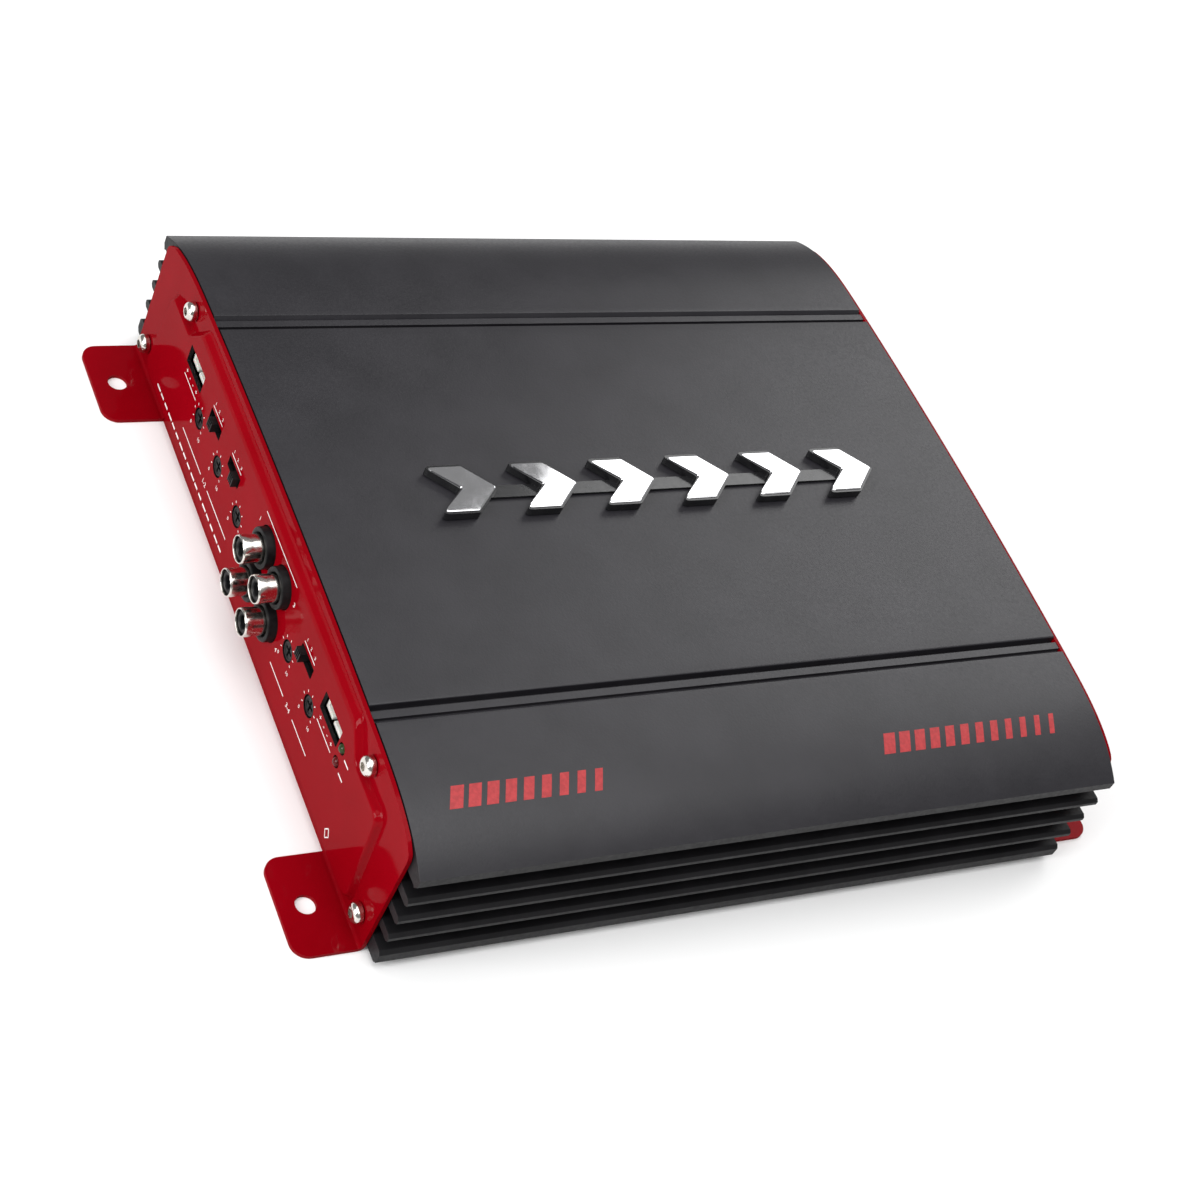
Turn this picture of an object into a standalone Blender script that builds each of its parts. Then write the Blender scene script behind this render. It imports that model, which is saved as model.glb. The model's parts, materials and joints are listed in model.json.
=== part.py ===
"""Four-channel car amplifier: finned heat sink, pressed end panels, controls, terminals and boards.

+X runs along the heat sink from the input end to the power end, +Z is up, and the origin is on the
mounting surface below the middle of the heat sink. The numbers below are millimetres, and every
object is scaled to metres as it is made.
"""

import math

import bmesh
import bpy
from mathutils import Matrix, Vector

MM = 0.001
GAP = 0.3            # clearance between pieces that touch
ROUND = 24           # sides of a round hole or post

# Heat sink
HALF_LENGTH = 115.0
HALF_WIDTH = 116.0
BASE_HEIGHT = 2.2    # the tabs hold the heat sink this far off the mounting surface
TOP_HEIGHT = 52.0
CROWN_DROP = 1.3
GROOVE_INNER = 67.7
GROOVE_OUTER = 73.0
GROOVE_DEPTH = 0.6
SLIT_WIDTH = 1.45    # a slit runs along each side of a groove's floor
SLIT_DEPTH = 1.9
SHOULDER_DROP = 1.6
SHOULDER_ROLL = 7.5
TOP_THICKNESS = 4.0
LIP_LOW = 37.8
FIN_ROOT = 103.0
FIN_BANDS = ((12.9, 15.8), (21.2, 24.1), (29.5, 32.4))
FIN_TIP = 1.0
RAIL_TOP = 7.7
RAIL_ROOT = 107.5
RAIL_INNER = 94.0
WALL_INNER = 99.5
LEDGE_REACH = 2.5    # the ledges that hold the main board
LEDGE_HEIGHT = 1.3

# Plates held in the heat sink's slots
SHEET = 1.2
COVER_LOW = 3.7
COVER_HIGH = 5.1
COVER_SLOT = 98.5
BOARD_LOW = 11.0
BOARD_HIGH = 12.6
BOARD_TOP = BOARD_HIGH + GAP

# End panels, measured outwards from the heat sink's end
PANEL_HALF_WIDTH = 110.0
PANEL_INNER = HALF_LENGTH + GAP
FLANGE_FACE = PANEL_INNER + SHEET
PRESS_DEPTH = 2.0
PRESS_FACE = FLANGE_FACE + PRESS_DEPTH
PRESS_BACK = PRESS_FACE - SHEET
PRESS_RIM = ((98.8, 4.0), (95.4, 39.6), (77.8, 39.6), (69.0, 49.4))
PRESS_TOP = ((97.2, 6.0), (93.8, 38.0), (77.0, 38.0), (70.0, 45.0))
TAB_REACH = 135.0
TAB_NEAR = 79.0
TAB_CORNER = 5.0
TAB_HOLE_Y = 94.5
TAB_HOLE_X = 127.0
TAB_HOLE_RADIUS = 3.0
TAB_LEG = 5.0        # height of the flange's lower edge above each tab
TAB_JOIN = 1.5       # how far a tab's bend runs up inside the flange
BEND_RADIUS = 1.0
PANEL_CORNER = ((0.0, 42.2), (0.5, 43.8), (1.8, 45.0))   # how far in from the edge, and how high
PANEL_TOP_START = 4.0

# Screws of the end panels
SCREW_PLACES = ((81.6, 44.0), (-81.6, 44.0), (103.4, 8.7), (-103.4, 8.7))
SHANK_RADIUS = 1.4
SHANK_HOLE = SHANK_RADIUS + GAP
SHANK_LENGTH = 9.0
HEAD_RADIUS = 2.9
HEAD_HEIGHT = 2.8
HEAD_RIM = 1.2       # height of the head's straight side
HEX_RADIUS = 1.15
HEX_DEPTH = 1.2
BOSS_RADIUS = 4.0

# Controls of the input end: (y, z) of each one's axis
JACK_PITCH = 14.2
JACK_FIRST = (-2.0, 36.5)
JACK_PLACES = tuple(
    (JACK_FIRST[0] - column * JACK_PITCH, JACK_FIRST[1] - row * JACK_PITCH)
    for column in (0, 1)
    for row in (0, 1)
)
COLLAR_RADIUS = 6.0
COLLAR_FACE = PRESS_FACE + 2.6
COLLAR_DEPTH = 1.9
PIN_RADIUS = 1.7                    # the hole that takes a plug's pin
BARREL_OUTER = 4.15
BARREL_INNER = 3.55
BARREL_FACE = 127.0
POT_Z = 26.0
POT_PLACES = (56.0, 37.3, 18.3, -30.0, -48.8)
POT_HALF = 4.2
ROTOR_RADIUS = 3.0
SWITCH_Z = 34.2
SWITCH_PLACES = (46.2, 27.8, -39.8)
SWITCH_REST = (0.0, -2.5, 2.5)      # where each lever stands in its slot
SWITCH_SLOT = (9.6, 3.9)
SWITCH_WALL = 1.5
LEVER = (3.2, 3.3)
LEVER_FACE = PRESS_FACE + 2.0
SOCKET_Z = 35.3
SOCKET_PLACES = (66.9, -60.1)
SOCKET_WINDOW = (13.6, 6.6)
SOCKET_SETBACK = 0.9
SOCKET_FLOOR = 111.0
SOCKET_WALL = (0.9, 0.8)            # of the window's width and height that the shell's wall covers
LED_Y = -69.5
LED_PLACES = (("power_led", 35.0), ("protect_led", 29.3))
LED_RADIUS = 1.5
CONTROL_BOARD_FACE = 108.9
CONTROL_BOARD_THICKNESS = 1.6
CONTROL_BOARD_REACH = 76.0
CONTROL_BOARD_TOP = 41.4
CONTROL_BACK = CONTROL_BOARD_FACE + GAP
CONTROL_FRONT = PRESS_BACK - GAP
CONTROL_FLOOR = 112.0               # depth of the bores and channels that the controls sit in
ROTOR_FACE = PRESS_FACE - 0.2
DRIVER_SLOT = (4.6, 0.9)            # length and width of each arm of a trimmer's crossed slot
SLOT_DEPTH = 1.0

# Connections of the power end
SPEAKER_MIDDLE = 42.0
SPEAKER_WAYS = 8
SPEAKER_PITCH = 9.5
SPEAKER_TOP = 31.0
SPEAKER_FACE = 131.0
POWER_MIDDLE = -27.0
POWER_WAYS = 3
POWER_PITCH = 14.0
POWER_TOP = 34.0
POWER_FACE = 133.0
BLOCK_BACK = 104.0
WIRE_DEPTH = 14.0
FUSE_Y = -71.5
FUSE_HEIGHTS = (19.0, 29.0)
FUSE_BLOCK_TOP = 35.5
FUSE_BLOCK_FACE = 121.0
FUSE_FACE = 127.0
FUSE_BLOCK_HALF = 14.5
FUSE_HEAD = (19.2, 5.2)
FUSE_SEAT = FUSE_BLOCK_FACE - 3.0
FUSE_BLADE_TIP = 110.0
FUSE_BLADE_HALF = 0.4               # half a blade's thickness
FUSE_BLADE_SIDES = (0.3, 5.4)       # a blade's sides, in from the end of the head

# Inside
TOROID_PLACE = (45.0, -25.0)
TOROID_RADIUS = 20.0
TOROID_TUBE = 7.5
CAPACITOR_PLACE = (45.0, 32.0)
CAPACITOR_RADIUS = 11.0
CAPACITOR_TOP = 42.0
DEVICE_MIDDLES = (-62.0, -37.0, -12.0, 13.0, 38.0, 63.0)
DEVICE_SIZE = (16.0, 5.0, 20.0)
DEVICE_LOW = BOARD_HIGH + 2.0
CLAMP_HALF_LENGTH = 75.0            # the bar that presses a row of devices to the wall
CLAMP_LOW = 24.0
CLAMP_HIGH = 31.0
CLAMP_THICKNESS = 3.0

# Emblem on the top face
EMBLEM_X = 3.0
EMBLEM_TILES = 6
EMBLEM_PITCH = 26.4
EMBLEM_TILE = (21.0, 18.0)
EMBLEM_STROKE = 12.0
EMBLEM_BASE = TOP_HEIGHT + GAP
EMBLEM_HEIGHT = 3.0
EMBLEM_STRIP = (3.0, 0.8)           # half width and height of the strip below the tiles
EMBLEM_OVERRUN = 5.0

PAINT = {
    "charcoal_coat": ((0.020, 0.020, 0.022), 0.55, 0.2),
    "red_enamel": ((0.52, 0.008, 0.025), 0.28, 0.1),
    "nickel": ((0.72, 0.70, 0.66), 0.22, 1.0),
    "black_plastic": ((0.012, 0.012, 0.013), 0.45, 0.0),
    "white_plastic": ((0.80, 0.79, 0.76), 0.45, 0.0),
    "green_board": ((0.02, 0.16, 0.06), 0.50, 0.0),
    "black_steel": ((0.03, 0.03, 0.03), 0.50, 0.4),
    "green_lens": ((0.05, 0.35, 0.10), 0.15, 0.0),
    "red_lens": ((0.45, 0.02, 0.02), 0.15, 0.0),
    "fuse_green": ((0.05, 0.45, 0.16), 0.25, 0.0),
    "ferrite": ((0.45, 0.18, 0.05), 0.40, 0.4),
    "sleeve_black": ((0.02, 0.02, 0.03), 0.30, 0.0),
    "chrome": ((0.88, 0.88, 0.90), 0.06, 1.0),
}


def clear_scene():
    for obj in list(bpy.data.objects):
        bpy.data.objects.remove(obj, do_unlink=True)


def new_collection(name, helper=False):
    collection = bpy.data.collections.new(name)
    collection.hide_render = helper
    bpy.context.scene.collection.children.link(collection)
    return collection


def new_materials():
    materials = {}
    for name, (colour, roughness, metallic) in PAINT.items():
        material = bpy.data.materials.new(name)
        material.use_nodes = True
        shader = material.node_tree.nodes["Principled BSDF"]
        shader.inputs["Base Color"].default_value = (*colour, 1.0)
        shader.inputs["Roughness"].default_value = roughness
        shader.inputs["Metallic"].default_value = metallic
        material.diffuse_color = (*colour, 1.0)
        materials[name] = material
    return materials


# ---- shapes, in millimetres ----------------------------------------------------


def box_shape(low, high):
    """A box between two corners."""
    shape = bmesh.new()
    middle = (Vector(low) + Vector(high)) / 2
    size = Vector(high) - Vector(low)
    place = Matrix.Translation(middle) @ Matrix.Diagonal((*size, 1.0))
    bmesh.ops.create_cube(shape, size=1.0, matrix=place)
    return shape


def rod_shape(axis, centre, low, high, radius, sides=ROUND):
    """A round rod along X or Z, from low to high. centre holds its two other coordinates."""
    shape = bmesh.new()
    middle = (low + high) / 2
    if axis == "X":
        place = Matrix.Translation((middle, *centre)) @ Matrix.Rotation(math.pi / 2, 4, "Y")
    else:
        place = Matrix.Translation((*centre, middle))
    bmesh.ops.create_cone(
        shape, cap_ends=True, segments=sides, radius1=radius, radius2=radius,
        depth=high - low, matrix=place,
    )
    return shape


def prism_shape(outline, axis, low, high):
    """A flat outline pushed along an axis. Its points give the two other axes, in X, Y, Z order."""
    shape = bmesh.new()
    place = {
        "X": lambda a, b: (low, a, b),
        "Y": lambda a, b: (a, low, b),
        "Z": lambda a, b: (a, b, low),
    }[axis]
    face = shape.faces.new([shape.verts.new(place(a, b)) for a, b in outline])
    pushed = bmesh.ops.extrude_face_region(shape, geom=[face])["geom"]
    corners = [item for item in pushed if isinstance(item, bmesh.types.BMVert)]
    push = [high - low if axis == name else 0.0 for name in "XYZ"]
    bmesh.ops.translate(shape, verts=corners, vec=push)
    return shape


def loft_shape(first, x_first, second, x_second):
    """A solid between two outlines of (y, z) points, one at each x."""
    shape = bmesh.new()
    rings = []
    for outline, x in ((first, x_first), (second, x_second)):
        ring = [shape.verts.new((x, y, z)) for y, z in outline]
        shape.faces.new(ring)
        rings.append(ring)
    for i in range(len(first)):
        after = (i + 1) % len(first)
        shape.faces.new((rings[0][i], rings[0][after], rings[1][after], rings[1][i]))
    return shape


def turned_shape(profile, centre, ring=False, steps=ROUND):
    """An (x, radius) profile turned about an X axis. A ring's profile closes on itself, and any
    other profile starts and ends on the axis."""
    shape = bmesh.new()
    points = [shape.verts.new((x, 0.0, radius)) for x, radius in profile]
    pairs = list(zip(points, points[1:]))
    if ring:
        pairs.append((points[-1], points[0]))
    edges = [shape.edges.new(pair) for pair in pairs]
    bmesh.ops.spin(
        shape, geom=points + edges, cent=(0, 0, 0), axis=(1, 0, 0),
        angle=2 * math.pi, steps=steps, use_merge=True,
    )
    bmesh.ops.remove_doubles(shape, verts=shape.verts, dist=0.0001)
    bmesh.ops.translate(shape, verts=shape.verts, vec=(0.0, *centre))
    return shape


def merged(shapes):
    """Several shapes in one, each still on its own."""
    whole = bmesh.new()
    for shape in shapes:
        piece = bpy.data.meshes.new("piece")
        shape.to_mesh(piece)
        shape.free()
        whole.from_mesh(piece)
        bpy.data.meshes.remove(piece)
    return whole


def arc(centre, radius, start, end, count):
    """Points on an arc, with its angles in degrees."""
    angles = [math.radians(start + (end - start) * i / count) for i in range(count + 1)]
    return [(centre[0] + radius * math.cos(a), centre[1] + radius * math.sin(a)) for a in angles]


def both_halves(half):
    """A half outline at positive y, joined with its mirror image."""
    return list(half) + [(-y, z) for y, z in reversed(half)]


def inset(outline, distance):
    """A closed outline moved inwards by a distance."""
    points = [Vector(point) for point in outline]
    area = sum(a.cross(b) for a, b in zip(points, points[1:] + points[:1]))
    turn = math.copysign(1.0, area)
    moved = []
    for before, here, after in zip(points[-1:] + points[:-1], points, points[1:] + points[:1]):
        first = (here - before).normalized()
        second = (after - here).normalized()
        inward = Vector((-first.y, first.x)) * turn + Vector((-second.y, second.x)) * turn
        step = inward * distance / (1.0 + first.dot(second))
        moved.append(tuple(here + step))
    return moved


# ---- objects -------------------------------------------------------------------


class Builder:
    """Makes the scene's objects, in metres, from shapes in millimetres."""

    def __init__(self):
        self.materials = new_materials()
        self.parts = new_collection("car_amplifier")
        self.cutters = new_collection("cutters", helper=True)

    def add(self, name, shape, material, side=1, origin=(0, 0, 0), helper=False):
        """side is -1 for a shape that is given outwards from the input end."""
        if side < 0:
            bmesh.ops.scale(shape, verts=shape.verts, vec=(-1.0, 1.0, 1.0))
        bmesh.ops.recalc_face_normals(shape, faces=shape.faces)
        bmesh.ops.translate(shape, verts=shape.verts, vec=-Vector(origin))
        bmesh.ops.scale(shape, verts=shape.verts, vec=(MM, MM, MM))
        mesh = bpy.data.meshes.new(name)
        shape.to_mesh(mesh)
        shape.free()
        mesh.shade_smooth()
        mesh.set_sharp_from_angle(angle=math.radians(30))
        obj = bpy.data.objects.new(name, mesh)
        obj.location = Vector(origin) * MM
        if helper:
            obj.hide_render = True
            obj.display_type = "WIRE"
            self.cutters.objects.link(obj)
        else:
            mesh.materials.append(self.materials[material])
            self.parts.objects.link(obj)
        return obj

    def boolean(self, obj, label, operation, shape, side=1):
        tool = self.add(f"{obj.name}_{label}", shape, None, side=side, helper=True)
        modifier = obj.modifiers.new(label, "BOOLEAN")
        modifier.operation = operation
        modifier.solver = "EXACT"
        modifier.object = tool

    def cut(self, obj, label, shape, side=1):
        self.boolean(obj, label, "DIFFERENCE", shape, side)

    def join(self, obj, label, shape, side=1):
        self.boolean(obj, label, "UNION", shape, side)


# ---- heat sink and plates ------------------------------------------------------


def top_height(y):
    """Height of the heat sink's upper surface at a distance y from the middle."""
    if y <= GROOVE_OUTER:
        return TOP_HEIGHT - CROWN_DROP * (y / GROOVE_OUTER) ** 2
    along = (y - GROOVE_OUTER) / (HALF_WIDTH - GROOVE_OUTER)
    return TOP_HEIGHT - CROWN_DROP - SHOULDER_DROP * along - SHOULDER_ROLL * along**3.4


def fin_points(low, high):
    tip = HALF_WIDTH - FIN_TIP
    bevel = 0.8 * FIN_TIP
    return [
        (FIN_ROOT, low), (tip, low), (HALF_WIDTH, low + bevel),
        (HALF_WIDTH, high - bevel), (tip, high), (FIN_ROOT, high),
    ]


def outer_half():
    """The heat sink's outside, from the foot of one rail up to the middle of the top."""
    foot = 1.2
    first_low, first_high = FIN_BANDS[0]
    points = [
        (RAIL_INNER, BASE_HEIGHT), (HALF_WIDTH - foot, BASE_HEIGHT),
        (HALF_WIDTH, BASE_HEIGHT + foot), (HALF_WIDTH, RAIL_TOP - FIN_TIP),
        (HALF_WIDTH - FIN_TIP, RAIL_TOP), (RAIL_ROOT, RAIL_TOP), (RAIL_ROOT, first_low),
    ]
    points += fin_points(first_low, first_high)[1:]
    for low, high in FIN_BANDS[1:]:
        points += fin_points(low, high)
    points += [
        (FIN_ROOT, LIP_LOW), (HALF_WIDTH - FIN_TIP, LIP_LOW), (HALF_WIDTH, LIP_LOW + FIN_TIP),
    ]
    steps = 9
    for i in range(steps + 1):
        y = HALF_WIDTH + (GROOVE_OUTER - HALF_WIDTH) * i / steps
        points.append((y, top_height(y)))
    floor = top_height(GROOVE_OUTER) - GROOVE_DEPTH
    deep = floor - SLIT_DEPTH
    points += [
        (GROOVE_OUTER, deep), (GROOVE_OUTER - SLIT_WIDTH, deep), (GROOVE_OUTER - SLIT_WIDTH, floor),
        (GROOVE_INNER + SLIT_WIDTH, floor), (GROOVE_INNER + SLIT_WIDTH, deep), (GROOVE_INNER, deep),
    ]
    steps = 5
    for i in range(steps + 1):
        y = GROOVE_INNER * (1 - i / (steps + 0.5))
        points.append((y, top_height(y)))
    return points


def inner_half():
    """The heat sink's inside, from the middle of its ceiling down to the same rail."""
    boss_y, boss_z = SCREW_PLACES[0]
    ledge = WALL_INNER - LEDGE_REACH
    points = [(y, top_height(y) - TOP_THICKNESS) for y in (12.0, 45.0, boss_y - BOSS_RADIUS)]
    points += arc((boss_y, boss_z), BOSS_RADIUS, 180, 360, 8)
    points += [(y, top_height(y) - TOP_THICKNESS) for y in (boss_y + BOSS_RADIUS, ledge)]
    points.append((WALL_INNER, top_height(WALL_INNER) - TOP_THICKNESS - 2.0))
    for low in (BOARD_HIGH + GAP, BOARD_LOW - GAP - LEDGE_HEIGHT):
        high = low + LEDGE_HEIGHT
        points += [(WALL_INNER, high), (ledge, high), (ledge, low), (WALL_INNER, low)]
    points += [
        (WALL_INNER, RAIL_TOP), (RAIL_INNER, RAIL_TOP), (RAIL_INNER, COVER_HIGH + GAP),
        (COVER_SLOT, COVER_HIGH + GAP), (COVER_SLOT, COVER_LOW - GAP), (RAIL_INNER, COVER_LOW - GAP),
    ]
    return points


def add_heat_sink(build):
    outer = outer_half()
    inner = inner_half()
    outline = both_halves(outer) + [(-y, z) for y, z in reversed(inner)] + inner
    sink = build.add(
        "heat_sink", prism_shape(outline, "X", -HALF_LENGTH, HALF_LENGTH), "charcoal_coat"
    )
    depth = SHANK_LENGTH + 2.0
    for side, end in ((-1, "input"), (1, "power")):
        holes = [
            rod_shape("X", place, HALF_LENGTH - depth, HALF_LENGTH + 2.0, SHANK_HOLE, 12)
            for place in SCREW_PLACES
        ]
        build.cut(sink, f"{end}_screw_holes", merged(holes), side)


def add_plates(build):
    reach = COVER_SLOT - GAP
    build.add(
        "bottom_cover",
        box_shape((-HALF_LENGTH, -reach, COVER_LOW), (HALF_LENGTH, reach, COVER_HIGH)),
        "black_steel",
    )
    board_length = HALF_LENGTH - 2.0
    reach = WALL_INNER - GAP
    build.add(
        "main_circuit_board",
        box_shape((-board_length, -reach, BOARD_LOW), (board_length, reach, BOARD_HIGH)),
        "green_board",
    )


# ---- end panels ----------------------------------------------------------------


def flange_half():
    """The flat part of an end panel. Above the tab it starts inside the bend's upright leg."""
    edge = PANEL_HALF_WIDTH
    points = [(TAB_NEAR, 0.0), (TAB_NEAR, TAB_LEG), (edge, TAB_LEG)]
    points += [(edge - step, z) for step, z in PANEL_CORNER]
    steps = 12
    for i in range(steps):
        y = (edge - PANEL_TOP_START) * (1 - i / steps)
        points.append((y, top_height(y) - GAP))
    return points


def tab_shape(direction):
    """A mounting tab with its bend, on the +y or the -y side."""
    outer = BEND_RADIUS + SHEET
    centre = (FLANGE_FACE + BEND_RADIUS, outer)
    leg = TAB_LEG + TAB_JOIN
    outline = [(TAB_REACH, 0.0)] + arc(centre, outer, 270, 180, 5)
    outline += [(PANEL_INNER, leg), (FLANGE_FACE, leg)] + arc(centre, BEND_RADIUS, 180, 270, 5)
    outline.append((TAB_REACH, SHEET))
    low, high = sorted((direction * TAB_NEAR, direction * PANEL_HALF_WIDTH))
    shape = prism_shape(outline, "Y", low, high)
    corners = [
        edge for edge in shape.edges
        if all(vert.co.x > TAB_REACH - 0.1 for vert in edge.verts)
        and abs(edge.verts[0].co.y - edge.verts[1].co.y) < 0.1
    ]
    bmesh.ops.bevel(
        shape, geom=corners, offset=TAB_CORNER, segments=6, profile=0.5, affect="EDGES"
    )
    return shape


def add_end_panel(build, name, side, windows):
    """A pressed sheet: flat rim, raised middle, two tabs, screw holes and its own windows."""
    flange = prism_shape(both_halves(flange_half()), "X", PANEL_INNER, FLANGE_FACE)
    panel = build.add(name, flange, "red_enamel", side)
    rim = both_halves(PRESS_RIM)
    top = both_halves(PRESS_TOP)
    raised = loft_shape(inset(rim, -0.4), FLANGE_FACE - 0.5, top, PRESS_FACE)
    build.join(panel, "raised_middle", raised, side)
    for direction, label in ((1, "far_tab"), (-1, "near_tab")):
        build.join(panel, label, tab_shape(direction), side)
    hollow = loft_shape(inset(rim, 0.3), PANEL_INNER - 0.5, inset(top, 0.5), PRESS_BACK)
    build.cut(panel, "hollow", hollow, side)
    near, far = PANEL_INNER - 1.0, PRESS_FACE + 1.0
    holes = [rod_shape("X", place, near, far, SHANK_HOLE, 12) for place in SCREW_PLACES]
    build.cut(panel, "screw_holes", merged(holes), side)
    tab_holes = [
        rod_shape("Z", (TAB_HOLE_X, y), -1.0, SHEET + 1.0, TAB_HOLE_RADIUS)
        for y in (TAB_HOLE_Y, -TAB_HOLE_Y)
    ]
    build.cut(panel, "tab_holes", merged(tab_holes), side)
    build.cut(panel, "windows", merged(windows), side)


def window(y, z, size):
    """A rectangular opening through the raised middle of a panel."""
    return box_shape(
        (PANEL_INNER - 1.0, y - size[0] / 2, z - size[1] / 2),
        (PRESS_FACE + 1.0, y + size[0] / 2, z + size[1] / 2),
    )


def input_windows():
    near, far = PANEL_INNER - 1.0, PRESS_FACE + 1.0
    holes = [rod_shape("X", place, near, far, COLLAR_RADIUS + GAP) for place in JACK_PLACES]
    holes += [rod_shape("X", (y, POT_Z), near, far, ROTOR_RADIUS + GAP) for y in POT_PLACES]
    holes += [rod_shape("X", (LED_Y, z), near, far, LED_RADIUS + GAP, 16) for _, z in LED_PLACES]
    holes += [window(y, SWITCH_Z, SWITCH_SLOT) for y in SWITCH_PLACES]
    holes += [window(y, SOCKET_Z, SOCKET_WINDOW) for y in SOCKET_PLACES]
    return holes


def block_window(low_y, high_y, top):
    """The opening around a connection block that stands on the main board."""
    size = (high_y - low_y + 2 * GAP, top - BOARD_TOP + 2 * GAP)
    return window((low_y + high_y) / 2, (top + BOARD_TOP) / 2, size)


def block_span(middle, ways, pitch):
    reach = ways * pitch / 2 + 1.5
    return middle - reach, middle + reach


def power_windows():
    return [
        block_window(*block_span(SPEAKER_MIDDLE, SPEAKER_WAYS, SPEAKER_PITCH), SPEAKER_TOP),
        block_window(*block_span(POWER_MIDDLE, POWER_WAYS, POWER_PITCH), POWER_TOP),
        block_window(FUSE_Y - FUSE_BLOCK_HALF, FUSE_Y + FUSE_BLOCK_HALF, FUSE_BLOCK_TOP),
    ]


def add_panel_screws(build):
    """Button-head screws with a hexagon socket, through the panels into the heat sink."""
    start = FLANGE_FACE + GAP
    face = start + HEAD_HEIGHT
    crown = (start + HEAD_RIM + face) / 2
    profile = [
        (HALF_LENGTH - SHANK_LENGTH, 0.0), (HALF_LENGTH - SHANK_LENGTH, SHANK_RADIUS),
        (start, SHANK_RADIUS), (start, HEAD_RADIUS), (start + HEAD_RIM, HEAD_RADIUS),
        (crown, 0.85 * HEAD_RADIUS), (face, 0.55 * HEAD_RADIUS), (face, 0.0),
    ]
    for side, end in ((-1, "input"), (1, "power")):
        for number, place in enumerate(SCREW_PLACES, 1):
            screw = build.add(
                f"{end}_panel_screw_{number}", turned_shape(profile, place, steps=16), "nickel", side
            )
            socket = rod_shape("X", place, face - HEX_DEPTH, face + 1.0, HEX_RADIUS, 6)
            build.cut(screw, "hex_socket", socket, side)


# ---- input end -----------------------------------------------------------------


def add_jacks(build):
    """A black block with four collars, and a nickel barrel pressed into each collar."""
    back = COLLAR_FACE - COLLAR_DEPTH
    gap_outer = BARREL_OUTER + GAP
    insulator = BARREL_INNER - GAP
    tip = BARREL_FACE - 1.0
    collar = [
        (CONTROL_FLOOR, 0.0), (CONTROL_FLOOR, COLLAR_RADIUS), (COLLAR_FACE, COLLAR_RADIUS),
        (COLLAR_FACE, gap_outer), (back, gap_outer), (back, insulator), (tip, insulator),
        (tip, PIN_RADIUS), (back, PIN_RADIUS), (back - 0.2, 0.0),
    ]
    barrel = [
        (back + GAP, BARREL_OUTER), (BARREL_FACE - 0.4, BARREL_OUTER), (BARREL_FACE, BARREL_OUTER - 0.2),
        (BARREL_FACE, BARREL_INNER + 0.1), (back + GAP, BARREL_INNER),
    ]
    right, top = JACK_FIRST
    spare = JACK_PITCH / 2 - 0.1
    block = build.add(
        "rca_jack_block",
        box_shape(
            (CONTROL_BACK, right - JACK_PITCH - spare, BOARD_TOP),
            (CONTROL_FRONT, right + spare, top + spare),
        ),
        "black_plastic", -1,
    )
    for number, place in enumerate(JACK_PLACES, 1):
        build.join(block, f"collar_{number}", turned_shape(collar, place), -1)
        build.add(f"rca_barrel_{number}", turned_shape(barrel, place, ring=True), "nickel", -1)


def add_pots(build):
    """Trimmer potentiometers: a square body and a rotor with a crossed slot that turns in it."""
    low, high = POT_Z - POT_HALF, POT_Z + POT_HALF
    for number, y in enumerate(POT_PLACES, 1):
        place = (y, POT_Z)
        body = build.add(
            f"pot_body_{number}",
            box_shape((CONTROL_BACK, y - POT_HALF, low), (CONTROL_FRONT, y + POT_HALF, high)),
            "black_plastic", -1,
        )
        bore = rod_shape("X", place, CONTROL_FLOOR, CONTROL_FRONT + 1.0, ROTOR_RADIUS + GAP)
        build.cut(body, "bore", bore, -1)
        rotor = build.add(
            f"pot_rotor_{number}",
            rod_shape("X", place, CONTROL_FLOOR + GAP, ROTOR_FACE, ROTOR_RADIUS),
            "black_plastic", -1, (-ROTOR_FACE, y, POT_Z),
        )
        for label, (wide, tall) in (("slot", DRIVER_SLOT), ("cross_slot", DRIVER_SLOT[::-1])):
            arm = box_shape(
                (ROTOR_FACE - SLOT_DEPTH, y - wide / 2, POT_Z - tall / 2),
                (ROTOR_FACE + 1.0, y + wide / 2, POT_Z + tall / 2),
            )
            build.cut(rotor, label, arm, -1)


def add_switches(build):
    """Three-position slide switches."""
    long_half, short_half = SWITCH_SLOT[0] / 2, SWITCH_SLOT[1] / 2
    wide, high = LEVER[0] / 2, LEVER[1] / 2
    for number, (middle, rest) in enumerate(zip(SWITCH_PLACES, SWITCH_REST), 1):
        body = build.add(
            f"switch_body_{number}",
            box_shape(
                (CONTROL_BACK, middle - long_half - SWITCH_WALL, SWITCH_Z - short_half - SWITCH_WALL),
                (CONTROL_FRONT, middle + long_half + SWITCH_WALL, SWITCH_Z + short_half + SWITCH_WALL),
            ),
            "black_plastic", -1,
        )
        channel = box_shape(
            (CONTROL_FLOOR, middle - long_half, SWITCH_Z - short_half),
            (CONTROL_FRONT + 1.0, middle + long_half, SWITCH_Z + short_half),
        )
        build.cut(body, "channel", channel, -1)
        y = middle + rest
        foot = CONTROL_FLOOR + GAP
        build.add(
            f"switch_lever_{number}",
            box_shape((foot, y - wide, SWITCH_Z - high), (LEVER_FACE, y + wide, SWITCH_Z + high)),
            "black_plastic", -1, (-LEVER_FACE, y, SWITCH_Z),
        )


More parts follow.
